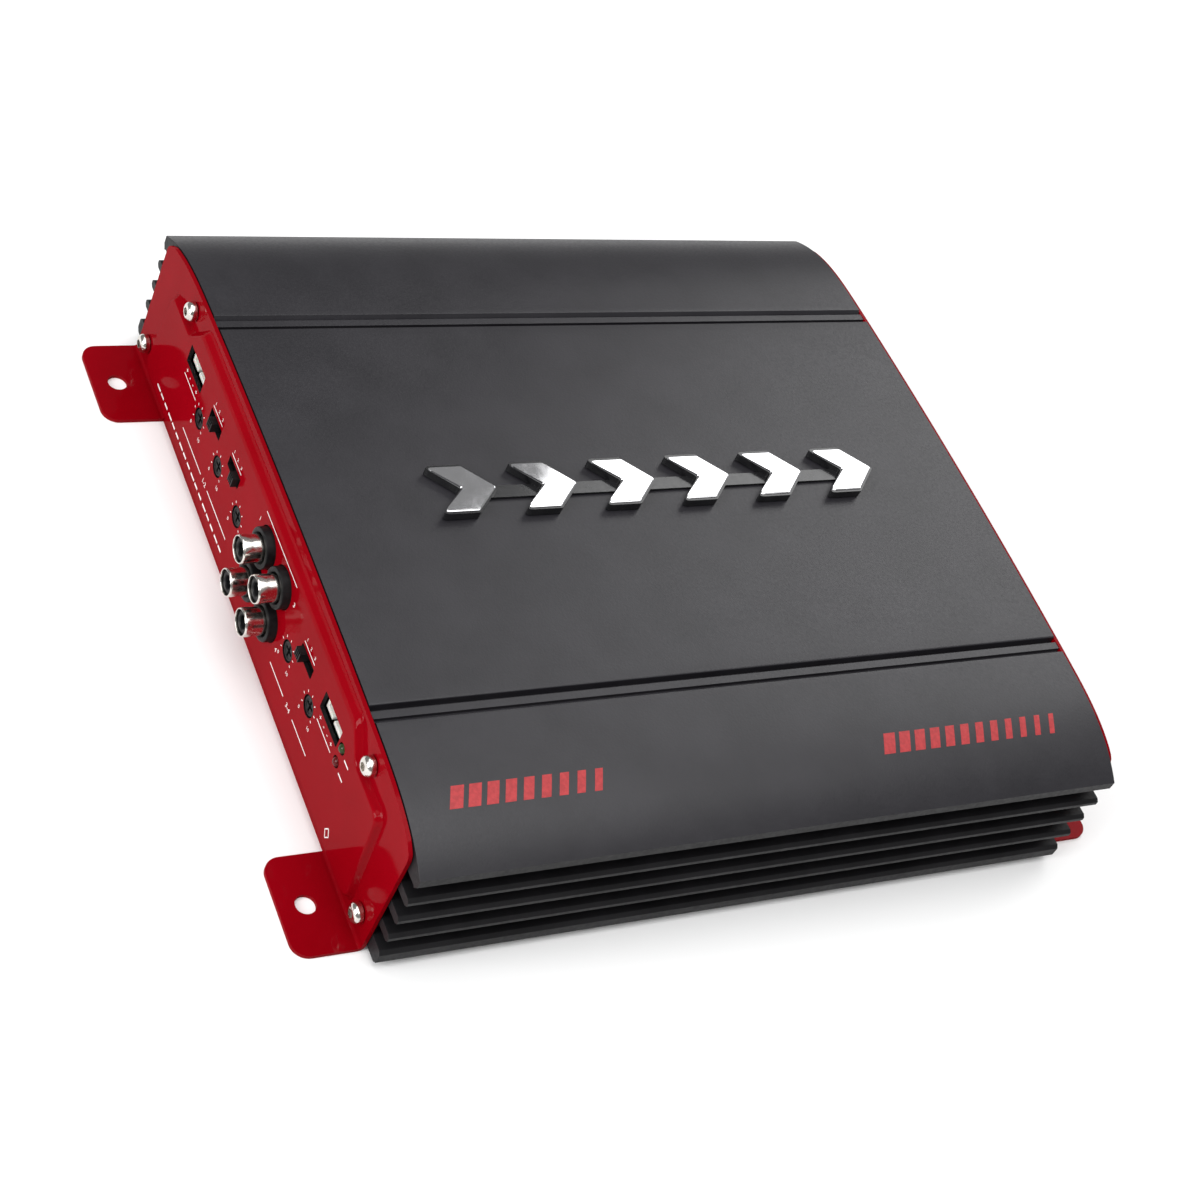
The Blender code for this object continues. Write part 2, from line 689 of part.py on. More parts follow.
def add_sockets(build):
    """White high-level input sockets, set back behind their windows."""
    front = PRESS_BACK - SOCKET_SETBACK
    wide, high = SOCKET_WINDOW[0] / 2, SOCKET_WINDOW[1] / 2
    mouth_wide, mouth_high = wide - SOCKET_WALL[0], high - SOCKET_WALL[1]
    for number, y in enumerate(SOCKET_PLACES, 1):
        shell = build.add(
            f"high_level_socket_{number}",
            box_shape(
                (CONTROL_BACK, y - wide - GAP, SOCKET_Z - high - GAP),
                (front, y + wide + GAP, SOCKET_Z + high + GAP),
            ),
            "white_plastic", -1,
        )
        mouth = box_shape(
            (SOCKET_FLOOR, y - mouth_wide, SOCKET_Z - mouth_high),
            (front + 1.0, y + mouth_wide, SOCKET_Z + mouth_high),
        )
        build.cut(shell, "mouth", mouth, -1)


def add_lights(build):
    dome = arc((PRESS_FACE - 0.6, 0.0), LED_RADIUS, 90, 0, 5)
    dome[-1] = (dome[-1][0], 0.0)
    profile = [(CONTROL_BACK, 0.0), (CONTROL_BACK, LED_RADIUS)] + dome
    for (name, z), lens in zip(LED_PLACES, ("green_lens", "red_lens")):
        build.add(name, turned_shape(profile, (LED_Y, z), steps=12), lens, -1)


def add_control_board(build):
    back, reach = CONTROL_BOARD_FACE - CONTROL_BOARD_THICKNESS, CONTROL_BOARD_REACH
    build.add(
        "control_board",
        box_shape((back, -reach, BOARD_TOP), (CONTROL_BOARD_FACE, reach, CONTROL_BOARD_TOP)),
        "green_board", -1,
    )


# ---- power end -----------------------------------------------------------------


def add_terminal_block(build, name, middle, ways, pitch, top, face, wire, screw):
    """wire is an entry's half width, low z and high z. screw is a clamp screw's radius and x."""
    low_y, high_y = block_span(middle, ways, pitch)
    half, low_z, high_z = wire
    radius, screw_x = screw
    block = build.add(
        f"{name}_terminal_block", box_shape((BLOCK_BACK, low_y, BOARD_TOP), (face, high_y, top)),
        "black_plastic",
    )
    places = [middle + (i - (ways - 1) / 2) * pitch for i in range(ways)]
    entries = [
        box_shape((face - WIRE_DEPTH, y - half, low_z), (face + 1.0, y + half, high_z))
        for y in places
    ]
    build.cut(block, "wire_entries", merged(entries))
    wells = [
        rod_shape("Z", (screw_x, y), high_z - 0.5, top + 1.0, radius + GAP, 16) for y in places
    ]
    build.cut(block, "screw_wells", merged(wells))
    head = top - 0.8
    for number, y in enumerate(places, 1):
        clamp = build.add(
            f"{name}_clamp_screw_{number}",
            rod_shape("Z", (screw_x, y), high_z + 0.4, head, radius, 16),
            "nickel", 1, (screw_x, y, head),
        )
        socket = rod_shape("Z", (screw_x, y), head - 2.4, head + 1.0, 0.6 * radius, 6)
        build.cut(clamp, "hex_socket", socket)


def add_fuses(build):
    """Two blade fuses that pull straight out of their holder."""
    holder = build.add(
        "fuse_holder",
        box_shape(
            (BLOCK_BACK, FUSE_Y - FUSE_BLOCK_HALF, BOARD_TOP),
            (FUSE_BLOCK_FACE, FUSE_Y + FUSE_BLOCK_HALF, FUSE_BLOCK_TOP),
        ),
        "black_plastic",
    )
    wide, thick = FUSE_HEAD[0] / 2, FUSE_HEAD[1] / 2
    near, far = (wide - step for step in FUSE_BLADE_SIDES)
    sides = ((-near, -far), (far, near))
    half = FUSE_BLADE_HALF
    pockets, slots = [], []
    for z in FUSE_HEIGHTS:
        pockets.append(
            box_shape(
                (FUSE_SEAT - GAP, FUSE_Y - wide - GAP, z - thick - GAP),
                (FUSE_BLOCK_FACE + 1.0, FUSE_Y + wide + GAP, z + thick + GAP),
            )
        )
        slots += [
            box_shape(
                (FUSE_BLADE_TIP - GAP, FUSE_Y + low - GAP, z - half - GAP),
                (FUSE_SEAT + 1.0, FUSE_Y + high + GAP, z + half + GAP),
            )
            for low, high in sides
        ]
    build.cut(holder, "head_pockets", merged(pockets))
    build.cut(holder, "blade_slots", merged(slots))
    for number, z in enumerate(FUSE_HEIGHTS, 1):
        fuse = build.add(
            f"blade_fuse_{number}",
            box_shape((FUSE_SEAT, FUSE_Y - wide, z - thick), (FUSE_FACE, FUSE_Y + wide, z + thick)),
            "fuse_green", 1, (FUSE_FACE, FUSE_Y, z),
        )
        blades = [
            box_shape(
                (FUSE_BLADE_TIP, FUSE_Y + low, z - half), (FUSE_SEAT + 1.0, FUSE_Y + high, z + half)
            )
            for low, high in sides
        ]
        build.join(fuse, "blades", merged(blades))


# ---- inside and top ------------------------------------------------------------


def add_inner_parts(build):
    """The supply's toroid and capacitor, and the output devices clamped to each side wall."""
    bpy.ops.mesh.primitive_torus_add(
        major_segments=20, minor_segments=8,
        major_radius=TOROID_RADIUS * MM, minor_radius=TOROID_TUBE * MM,
        location=Vector((*TOROID_PLACE, BOARD_TOP + TOROID_TUBE)) * MM,
    )
    toroid = bpy.context.object
    toroid.name = "power_transformer"
    toroid.data.materials.append(build.materials["ferrite"])
    for collection in list(toroid.users_collection):
        collection.objects.unlink(toroid)
    build.parts.objects.link(toroid)
    build.add(
        "filter_capacitor",
        rod_shape("Z", CAPACITOR_PLACE, BOARD_TOP, CAPACITOR_TOP, CAPACITOR_RADIUS), "sleeve_black",
    )
    length, depth, height = DEVICE_SIZE
    for direction, label in ((1, "far"), (-1, "near")):
        wall = direction * (WALL_INNER - GAP)
        inner = wall - direction * depth
        sunk = inner + 2 * direction * GAP
        bar_low, bar_high = sorted((sunk, inner - direction * CLAMP_THICKNESS))
        bar = box_shape(
            (-CLAMP_HALF_LENGTH, bar_low, CLAMP_LOW), (CLAMP_HALF_LENGTH, bar_high, CLAMP_HIGH)
        )
        bank = build.add(f"output_device_bank_{label}", bar, "black_steel")
        low_y, high_y = sorted((inner, wall))
        devices = [
            box_shape(
                (x - length / 2, low_y, DEVICE_LOW), (x + length / 2, high_y, DEVICE_LOW + height)
            )
            for x in DEVICE_MIDDLES
        ]
        build.join(bank, "devices", merged(devices))


def chevron(middle):
    """One tile of the emblem, seen from above."""
    back = middle - EMBLEM_TILE[0] / 2
    front = middle + EMBLEM_TILE[0] / 2
    half = EMBLEM_TILE[1] / 2
    notch = front - EMBLEM_STROKE
    return [
        (back, -half), (back + EMBLEM_STROKE, -half), (front, 0.0),
        (back + EMBLEM_STROKE, half), (back, half), (notch, 0.0),
    ]


def add_emblem(build):
    """Plain chevrons on a thin strip."""
    middles = [
        EMBLEM_X + (i - (EMBLEM_TILES - 1) / 2) * EMBLEM_PITCH for i in range(EMBLEM_TILES)
    ]
    half, height = EMBLEM_STRIP
    strip = build.add(
        "top_emblem",
        box_shape(
            (middles[0], -half, EMBLEM_BASE),
            (middles[-1] + EMBLEM_OVERRUN, half, EMBLEM_BASE + height),
        ),
        "chrome",
    )
    top = EMBLEM_BASE + EMBLEM_HEIGHT
    tiles = [prism_shape(chevron(middle), "Z", EMBLEM_BASE - 0.05, top) for middle in middles]
    build.join(strip, "tiles", merged(tiles))


def main():
    clear_scene()
    build = Builder()
    add_heat_sink(build)
    add_plates(build)
    add_end_panel(build, "input_end_panel", -1, input_windows())
    add_end_panel(build, "power_end_panel", 1, power_windows())
    add_panel_screws(build)
    add_jacks(build)
    add_pots(build)
    add_switches(build)
    add_sockets(build)
    add_lights(build)
    add_control_board(build)
    add_terminal_block(
        build, "speaker", SPEAKER_MIDDLE, SPEAKER_WAYS, SPEAKER_PITCH, SPEAKER_TOP, SPEAKER_FACE,
        wire=(3.6, 16.0, 22.6), screw=(2.3, 125.0),
    )
    add_terminal_block(
        build, "power", POWER_MIDDLE, POWER_WAYS, POWER_PITCH, POWER_TOP, POWER_FACE,
        wire=(5.2, 15.8, 25.2), screw=(3.1, 126.0),
    )
    add_fuses(build)
    add_inner_parts(build)
    add_emblem(build)


main()
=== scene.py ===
"""Looks of the car amplifier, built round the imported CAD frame.

Shapes are given in millimetres in the frame's own axes, and scaled to metres as they are made.
+X runs from the input end to the power end, and +Z is up.
"""

import json
import math

import bmesh
import bpy
from mathutils import Matrix, Vector

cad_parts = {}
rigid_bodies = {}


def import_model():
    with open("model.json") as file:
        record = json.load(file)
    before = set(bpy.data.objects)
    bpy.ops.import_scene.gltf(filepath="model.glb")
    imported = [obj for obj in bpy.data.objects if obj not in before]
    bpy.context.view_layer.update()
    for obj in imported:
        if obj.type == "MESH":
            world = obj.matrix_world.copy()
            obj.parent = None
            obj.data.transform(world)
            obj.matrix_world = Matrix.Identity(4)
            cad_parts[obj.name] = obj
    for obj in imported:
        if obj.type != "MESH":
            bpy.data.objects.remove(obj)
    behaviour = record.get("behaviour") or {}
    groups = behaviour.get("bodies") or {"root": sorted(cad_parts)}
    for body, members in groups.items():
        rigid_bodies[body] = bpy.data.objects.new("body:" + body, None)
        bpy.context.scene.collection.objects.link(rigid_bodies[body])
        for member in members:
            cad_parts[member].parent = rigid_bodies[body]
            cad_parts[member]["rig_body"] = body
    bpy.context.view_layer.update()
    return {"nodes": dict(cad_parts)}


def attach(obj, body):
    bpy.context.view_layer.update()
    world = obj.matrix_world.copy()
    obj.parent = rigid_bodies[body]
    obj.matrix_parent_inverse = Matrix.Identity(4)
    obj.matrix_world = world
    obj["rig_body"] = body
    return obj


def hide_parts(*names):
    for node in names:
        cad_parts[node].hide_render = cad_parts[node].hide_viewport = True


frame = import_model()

MM = 0.001
GAP = 0.3            # clearance between separate parts
OVERLAP = 0.5        # how far a joined shape reaches into its neighbour
PAST = 1.0           # how far a cutting shape reaches past a surface
ROUND = 48           # sides of a large turned piece

# Heat sink
HALF_LENGTH = 115.0
HALF_WIDTH = 116.0
BASE_HEIGHT = 2.2
TOP_HEIGHT = 52.0
CROWN_DROP = 1.3
GROOVE_INNER = 67.7
GROOVE_OUTER = 73.0
GROOVE_DEPTH = 0.6
SLIT = 1.45          # width of the slit along each side of a groove's floor
SLIT_DEPTH = 1.9
SHOULDER_DROP = 1.6
SHOULDER_ROLL = 7.5
TOP_THICKNESS = 4.0
LIP_LOW = 37.8
FIN_ROOT = 103.0
FIN_BANDS = ((12.9, 15.8), (21.2, 24.1), (29.5, 32.4))
RAIL_TOP = 7.7
RAIL_ROOT = 107.5
RAIL_INNER = 94.0
WALL_INNER = 99.5
BOARD_LOW = 11.0
BOARD_TOP = 12.9
BORE_END = 104.0     # where the screw holes end inside the extrusion

# End panels, measured outwards
SHEET = 1.2
PANEL_HALF_WIDTH = 110.0
PANEL_INNER = HALF_LENGTH + GAP
FLANGE_FACE = PANEL_INNER + SHEET
PRESS_DEPTH = 2.0
PRESS_FACE = FLANGE_FACE + PRESS_DEPTH
PRESS_RIM = ((98.8, 4.0), (95.4, 39.6), (77.8, 39.6), (69.0, 49.4))
PRESS_TOP = ((97.2, 6.0), (93.8, 38.0), (77.0, 38.0), (70.0, 45.0))
TAB_REACH = 135.0
TAB_NEAR = 79.0
TAB_HOLE = (127.0, 94.5)
TAB_HOLE_RADIUS = 3.0
SCREW_HOLE_RADIUS = 1.7
SCREW_PLACES = ((81.6, 44.0), (-81.6, 44.0), (103.4, 8.7), (-103.4, 8.7))

# Controls of the input end. A place is (y, z).
CONTROL_BACK = 109.2  # face of the board behind them
JACK_PLACES = ((-2.0, 36.5), (-2.0, 22.3), (-16.2, 36.5), (-16.2, 22.3))
POT_Z = 26.0
POT_PLACES = (56.0, 37.3, 18.3, -30.0, -48.8)
SWITCH_Z = 34.2
SWITCH_PLACES = (46.2, 27.8, -39.8)
SWITCH_REST = (0.0, -2.5, 2.5)
SOCKET_Z = 35.3
SOCKET_PLACES = (66.9, -60.1)
LED_Y = -69.5
LED_HEIGHTS = {"power_led": 35.0, "protect_led": 29.3}

# Connections of the power end
POWER_BACK = 104.0
FUSE_Y = -71.5
FUSE_HEIGHTS = (19.0, 29.0)
SPEAKER_WAYS = tuple(42.0 + (i - 3.5) * 9.5 for i in range(8))
POWER_WAYS = tuple(-27.0 + (i - 1) * 14.0 for i in range(3))


# ---- materials ----


def set_values(node, values):
    """Sets a node's inputs. An underscore in a name stands for a space."""
    for label, value in values.items():
        node.inputs[label.replace("_", " ")].default_value = value


class Finish:
    """A Principled material whose colour, roughness and relief come from noise in object space."""

    def __init__(self, name, **sockets):
        self.material = bpy.data.materials.new(name)
        self.material.use_nodes = True
        self.nodes = self.material.node_tree.nodes
        self.links = self.material.node_tree.links
        self.shader = self.nodes["Principled BSDF"]
        set_values(self.shader, sockets)
        self.space = self.nodes.new("ShaderNodeTexCoord").outputs["Object"]
        self.normal = None

    def node(self, kind, label, source, **values):
        """A new node with a source linked to one of its inputs."""
        made = self.nodes.new("ShaderNode" + kind)
        set_values(made, values)
        self.links.new(source, made.inputs[label])
        return made

    def noise(self, scale, detail, stretch=(1.0, 1.0, 1.0)):
        space = self.node("Mapping", "Vector", self.space, Scale=stretch).outputs["Vector"]
        values = {"Scale": scale, "Detail": detail, "Roughness": 0.55}
        return self.node("TexNoise", "Vector", space, **values).outputs["Fac"]

    def cells(self, scale):
        texture = self.node("TexVoronoi", "Vector", self.space, Scale=scale)
        texture.distance = "CHEBYCHEV"
        return texture.outputs["Distance"]

    def colour(self, source, low, high, ends=(0.35, 0.65)):
        made = self.node("ValToRGB", "Fac", source)
        for element, position, colour in zip(made.color_ramp.elements, ends, (low, high)):
            element.position = position
            element.color = (*colour, 1.0)
        self.links.new(made.outputs["Color"], self.shader.inputs["Base Color"])

    def roughness(self, source, low, high):
        values = {"From_Min": 0.3, "From_Max": 0.7, "To_Min": low, "To_Max": high}
        made = self.node("MapRange", "Value", source, **values)
        self.links.new(made.outputs["Result"], self.shader.inputs["Roughness"])

    def relief(self, source, height, strength):
        """height is in millimetres."""
        bump = self.node("Bump", "Height", source, Strength=strength, Distance=height * MM)
        if self.normal:
            self.links.new(self.normal, bump.inputs["Normal"])
        self.normal = bump.outputs["Normal"]
        self.links.new(self.normal, self.shader.inputs["Normal"])


ALONG = (0.05, 60.0, 60.0)       # stretches noise into lines along the extrusion
BRUSHED = (1.0, 30.0, 30.0)
LENS = {"Transmission_Weight": 0.2, "IOR": 1.45, "Specular_IOR_Level": 0.15}
LENS_SURFACE = ((1200.0, 2.0), 0.10, 0.18), ((1500.0, 1.0), 0.005, 0.2)
INK_SURFACE = ((1200.0, 2.0), 0.38, 0.52), ((1500.0, 2.0), 0.02, 0.3)

# The material's name, the record's slot and uniform sockets, then colour, roughness and reliefs.
# Each of the last three is a noise's (scale, detail, stretch) and two values: the lowest and the
# highest of the colour or roughness, or the height and strength of a relief.
FINISH_ROWS = {
    "coat": ("charcoal_coat", "charcoal_coat", {"Specular_IOR_Level": 0.5},
        ((55.0, 6.0), (0.0120, 0.0112, 0.0142), (0.0172, 0.0162, 0.0198)),
        ((1100.0, 3.0), 0.34, 0.44), ((1300.0, 2.0), 0.045, 0.6), ((9.0, 2.0, ALONG), 0.02, 0.25)),
    # The same charcoal coat, made darker and duller: painted shade for the fins and rails below the
    # lip.
    "fins_painted_shade": ("fin_black", "charcoal_coat", {"Specular_IOR_Level": 0.22},
        ((70.0, 5.0), (0.0045, 0.0042, 0.0050), (0.0085, 0.0080, 0.0092)),
        ((900.0, 3.0), 0.46, 0.60), ((1500.0, 2.0), 0.03, 0.4), ((9.0, 2.0, ALONG), 0.02, 0.3)),
    "red": ("red_enamel", "red_enamel",
        {"Coat_Weight": 0.13, "Coat_Roughness": 0.07, "Specular_IOR_Level": 0.0},
        ((30.0, 4.0), (0.190, 0.0005, 0.0034), (0.218, 0.0009, 0.0048)),
        ((160.0, 3.0), 0.20, 0.28), ((420.0, 2.0), 0.012, 0.35)),
    "nickel": ("bright_nickel", "nickel", {"Metallic": 1.0},
        ((350.0, 4.0), (0.60, 0.575, 0.53), (0.76, 0.735, 0.69)),
        ((900.0, 3.0), 0.13, 0.24), ((1400.0, 2.0), 0.006, 0.3)),
    "tin": ("tinned_steel", "nickel", {"Metallic": 1.0},
        ((260.0, 4.0), (0.48, 0.47, 0.45), (0.66, 0.65, 0.63)),
        ((500.0, 3.0), 0.26, 0.42), ((60.0, 2.0, BRUSHED), 0.01, 0.4)),
    "chrome": ("emblem_chrome", "chrome", {"Metallic": 1.0},
        ((120.0, 2.0), (0.86, 0.86, 0.88), (0.93, 0.93, 0.95)),
        ((300.0, 3.0), 0.04, 0.09), ((90.0, 1.0), 0.01, 0.12)),
    "gloss": ("gloss_black", "chrome", {"Coat_Weight": 0.4, "Coat_Roughness": 0.1},
        ((200.0, 3.0), (0.006, 0.006, 0.007), (0.012, 0.012, 0.013)),
        ((500.0, 3.0), 0.18, 0.28), ((700.0, 2.0), 0.008, 0.3)),
    "plastic": ("moulded_black", "black_plastic", {"Specular_IOR_Level": 0.12},
        ((400.0, 4.0), (0.0050, 0.0050, 0.0055), (0.0100, 0.0100, 0.0105)),
        ((800.0, 3.0), 0.34, 0.50), ((1600.0, 3.0), 0.02, 0.4)),
    "nylon": ("natural_nylon", "white_plastic",
        {"Subsurface_Weight": 0.08, "Subsurface_Scale": 0.001},
        ((220.0, 4.0), (0.76, 0.74, 0.69), (0.86, 0.85, 0.81)),
        ((700.0, 2.0), 0.36, 0.50), ((900.0, 2.0), 0.015, 0.3)),
    "steel": ("black_steel", "black_steel", {"Metallic": 0.35},
        ((35.0, 6.0), (0.012, 0.012, 0.013), (0.026, 0.026, 0.027)),
        ((600.0, 3.0), 0.34, 0.52), ((750.0, 3.0), 0.03, 0.35)),
    "copper": ("enamelled_copper", "ferrite", {"Metallic": 0.9},
        ((180.0, 3.0), (0.44, 0.15, 0.045), (0.62, 0.25, 0.08)),
        ((500.0, 2.0), 0.22, 0.34), ((900.0, 2.0), 0.02, 0.3)),
    "sleeve": ("capacitor_sleeve", "sleeve_black", {"Coat_Weight": 0.2, "Coat_Roughness": 0.2},
        ((70.0, 3.0), (0.010, 0.011, 0.022), (0.018, 0.019, 0.034)),
        ((500.0, 2.0), 0.24, 0.36), ((260.0, 2.0), 0.03, 0.3)),
    "fuse": ("fuse_plastic", "fuse_green", {"Transmission_Weight": 0.45, "IOR": 1.46},
        ((160.0, 3.0), (0.018, 0.33, 0.10), (0.040, 0.46, 0.17)),
        ((500.0, 2.0), 0.14, 0.26), ((300.0, 2.0), 0.02, 0.3)),
    "green_lens": ("green_lens", "green_lens", LENS,
        ((900.0, 2.0), (0.018, 0.034, 0.010), (0.032, 0.058, 0.018)), *LENS_SURFACE),
    "red_lens": ("red_lens", "red_lens", LENS,
        ((900.0, 2.0), (0.075, 0.004, 0.004), (0.120, 0.007, 0.006)), *LENS_SURFACE),
    "white_ink": ("white_ink", "white_plastic", {},
        ((900.0, 3.0), (0.66, 0.62, 0.61), (0.80, 0.77, 0.76)), *INK_SURFACE),
    "red_ink": ("red_ink", "red_enamel", {},
        ((900.0, 3.0), (0.30, 0.012, 0.016), (0.40, 0.022, 0.026)), *INK_SURFACE),
}


def make_finishes():
    made = {}
    for key, (name, _, sockets, colour, roughness, *reliefs) in FINISH_ROWS.items():
        finish = Finish(name, **sockets)
        finish.colour(finish.noise(*colour[0]), *colour[1:])
        finish.roughness(finish.noise(*roughness[0]), *roughness[1:])
        for noise, height, strength in reliefs:
            finish.relief(finish.noise(*noise), height, strength)
        made[key] = finish.material

    board = Finish("circuit_board", Coat_Weight=0.3, Coat_Roughness=0.2)
    board.colour(board.cells(160.0), (0.010, 0.085, 0.034), (0.022, 0.170, 0.066), (0.30, 0.42))
    board.roughness(board.noise(400.0, 3.0), 0.32, 0.46)
    board.relief(board.cells(160.0), 0.04, 0.4)
    made["board"] = board.material
    return made


# ---- shapes, in millimetres ----


def box_shape(low, high):
    shape = bmesh.new()
    middle = (Vector(low) + Vector(high)) / 2
    size = Vector(high) - Vector(low)
    place = Matrix.Translation(middle) @ Matrix.Diagonal((*size, 1.0))
    bmesh.ops.create_cube(shape, size=1.0, matrix=place)
    return shape


def fillet(outline, radius, steps=4):
    """A closed outline with its corners rounded, as far as its sides leave room."""
    rounded = []
    for i, point in enumerate(outline):
        here = Vector(point)
        before = Vector(outline[i - 1]) - here
        after = Vector(outline[(i + 1) % len(outline)]) - here
        turn = math.pi - before.angle(after)
        if turn < math.radians(15):
            rounded.append(tuple(here))
            continue
        reach = min(radius * math.tan(turn / 2), 0.48 * before.length, 0.48 * after.length)
        start = here + before.normalized() * reach
        end = here + after.normalized() * reach
        for k in range(steps + 1):
            t = k / steps
            rounded.append(tuple(start * (1 - t) ** 2 + here * 2 * t * (1 - t) + end * t * t))
    return rounded


def rectangle(low, high, radius=0.0):
    corners = [(low[0], low[1]), (high[0], low[1]), (high[0], high[1]), (low[0], high[1])]
    return fillet(corners, radius) if radius else corners


def circle(centre, radius, sides=ROUND):
    angles = [2 * math.pi * i / sides for i in range(sides)]
    return [(centre[0] + radius * math.cos(a), centre[1] + radius * math.sin(a)) for a in angles]


def arc(centre, radius, start, end, count):
    angles = [math.radians(start + (end - start) * i / count) for i in range(count + 1)]
    return [(centre[0] + radius * math.cos(a), centre[1] + radius * math.sin(a)) for a in angles]


def bridge(shape, loops):
    """Faces between each loop of vertices and the next one."""
    for first, second in zip(loops, loops[1:]):
        for i in range(len(first)):
            j = (i + 1) % len(first)
            shape.faces.new((first[i], first[j], second[j], second[i]))


def prism(outline, axis, low, high):
    """A flat outline pushed along an axis. Its points give the two other axes, in X, Y, Z order."""
    return loft([outline, outline], [low, high], axis)


def loft(outlines, levels, axis="X"):
    """A solid through outlines of equal count, one at each level along an axis."""
    place = {
        "X": lambda a, b, level: (level, a, b),
        "Y": lambda a, b, level: (a, level, b),
        "Z": lambda a, b, level: (a, b, level),
    }[axis]
    shape = bmesh.new()
    rings = [
        [shape.verts.new(place(a, b, level)) for a, b in outline]
        for outline, level in zip(outlines, levels)
    ]
    shape.faces.new(rings[0])
    shape.faces.new(rings[-1])
    bridge(shape, rings)
    return shape


def sleeve(outer, inner, low, high):
    """A tube along X between two outlines of equal count."""
    shape = bmesh.new()
    loops = [
        [shape.verts.new((level, a, b)) for a, b in outline]
        for outline, level in ((outer, low), (outer, high), (inner, high), (inner, low))
    ]
    bridge(shape, loops + loops[:1])
    return shape


def turned(profile, centre, axis="X", ring=False, sides=ROUND):
    """A (level, radius) profile turned about an axis. centre gives the two other coordinates."""
    shape = bmesh.new()
    points = [shape.verts.new((level, 0.0, radius)) for level, radius in profile]
    pairs = list(zip(points, points[1:]))
    if ring:
        pairs.append((points[-1], points[0]))
    edges = [shape.edges.new(pair) for pair in pairs]
    bmesh.ops.spin(
        shape, geom=points + edges, cent=(0, 0, 0), axis=(1, 0, 0),
        angle=2 * math.pi, steps=sides, use_merge=True,
    )
    bmesh.ops.remove_doubles(shape, verts=shape.verts, dist=0.0001)
    if axis == "Z":
        bmesh.ops.rotate(shape, verts=shape.verts, matrix=Matrix.Rotation(-math.pi / 2, 3, "Y"))
        bmesh.ops.translate(shape, verts=shape.verts, vec=(*centre, 0.0))
    else:
        bmesh.ops.translate(shape, verts=shape.verts, vec=(0.0, *centre))
    return shape


def merged(shapes):
    whole = bmesh.new()
    for shape in shapes:
        piece = bpy.data.meshes.new("piece")
        shape.to_mesh(piece)
        shape.free()
        whole.from_mesh(piece)
        bpy.data.meshes.remove(piece)
    return whole


def flipped(shape, side=-1):
    """Turns a shape given outwards along +X to the input end. With side=1 it stays as it is."""
    bmesh.ops.scale(shape, verts=shape.verts, vec=(side, 1.0, 1.0))
    return shape


def both_halves(half):
    """An outline in (y, z) and its mirror image, in one loop."""
    return list(half) + [(-y, z) for y, z in reversed(half)]


def between(first, second, share):
    """A point or an outline part of the way from one to the other."""
    if isinstance(first, (int, float)):
        return first + (second - first) * share
    return [between(a, b, share) for a, b in zip(first, second)]


# ---- objects ----


def new_object(name, shape):
    bmesh.ops.recalc_face_normals(shape, faces=shape.faces)
    bmesh.ops.scale(shape, verts=shape.verts, vec=(MM, MM, MM))
    mesh = bpy.data.meshes.new(name)
    shape.to_mesh(mesh)
    shape.free()
    obj = bpy.data.objects.new(name, mesh)
    bpy.context.scene.collection.objects.link(obj)
    return obj


def settle(obj):
    """Applies the object's modifiers."""
    depsgraph = bpy.context.evaluated_depsgraph_get()
    mesh = bpy.data.meshes.new_from_object(obj.evaluated_get(depsgraph))
    obj.modifiers.clear()
    old, obj.data = obj.data, mesh
    bpy.data.meshes.remove(old)


def combine(obj, operation, shapes):
    """Cuts shapes from an object, or joins them to it, one after another."""
    for shape in shapes:
        tool = new_object("tool", shape)
        modifier = obj.modifiers.new("combine", "BOOLEAN")
        modifier.operation = operation
        modifier.solver = "EXACT"
        modifier.object = tool
        settle(obj)
        mesh = tool.data
        bpy.data.objects.remove(tool)
        bpy.data.meshes.remove(mesh)


def soften(obj, width, segments=2, angle=50):
    """Rounds the sharp edges a little. width is in millimetres."""
    modifier = obj.modifiers.new("soften", "BEVEL")
    modifier.width = width * MM
    modifier.segments = segments
    modifier.limit_method = "ANGLE"
    modifier.angle_limit = math.radians(angle)
    modifier.use_clamp_overlap = True
    settle(obj)


def dress(obj, finish, node, stands_for=(), sharp=35):
    """Gives a piece its finish, and lets it ride with a CAD node.

    stands_for lists the nodes it replaces, and sharp is the least angle of an edge left sharp.
    """
    obj.data.materials.clear()
    obj.data.materials.append(FINISHES[finish])
    obj.data.shade_smooth()
    obj.data.set_sharp_from_angle(angle=math.radians(sharp))
    even = obj.modifiers.new("even_shading", "WEIGHTED_NORMAL")
    even.keep_sharp = True
    even.weight = 100
    settle(obj)
    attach(obj, frame["nodes"][node]["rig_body"])
    if stands_for:
        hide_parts(*stands_for)


# ---- heat sink, emblem and cover ----


def top_height(y):
    """Height of the top without its grooves: a low crown, then a shoulder that rolls over."""
    y = abs(y)
    if y <= GROOVE_OUTER:
        return TOP_HEIGHT - CROWN_DROP * (y / GROOVE_OUTER) ** 2
    along = (y - GROOVE_OUTER) / (HALF_WIDTH - GROOVE_OUTER)
    return TOP_HEIGHT - CROWN_DROP - SHOULDER_DROP * along - SHOULDER_ROLL * along**3.4


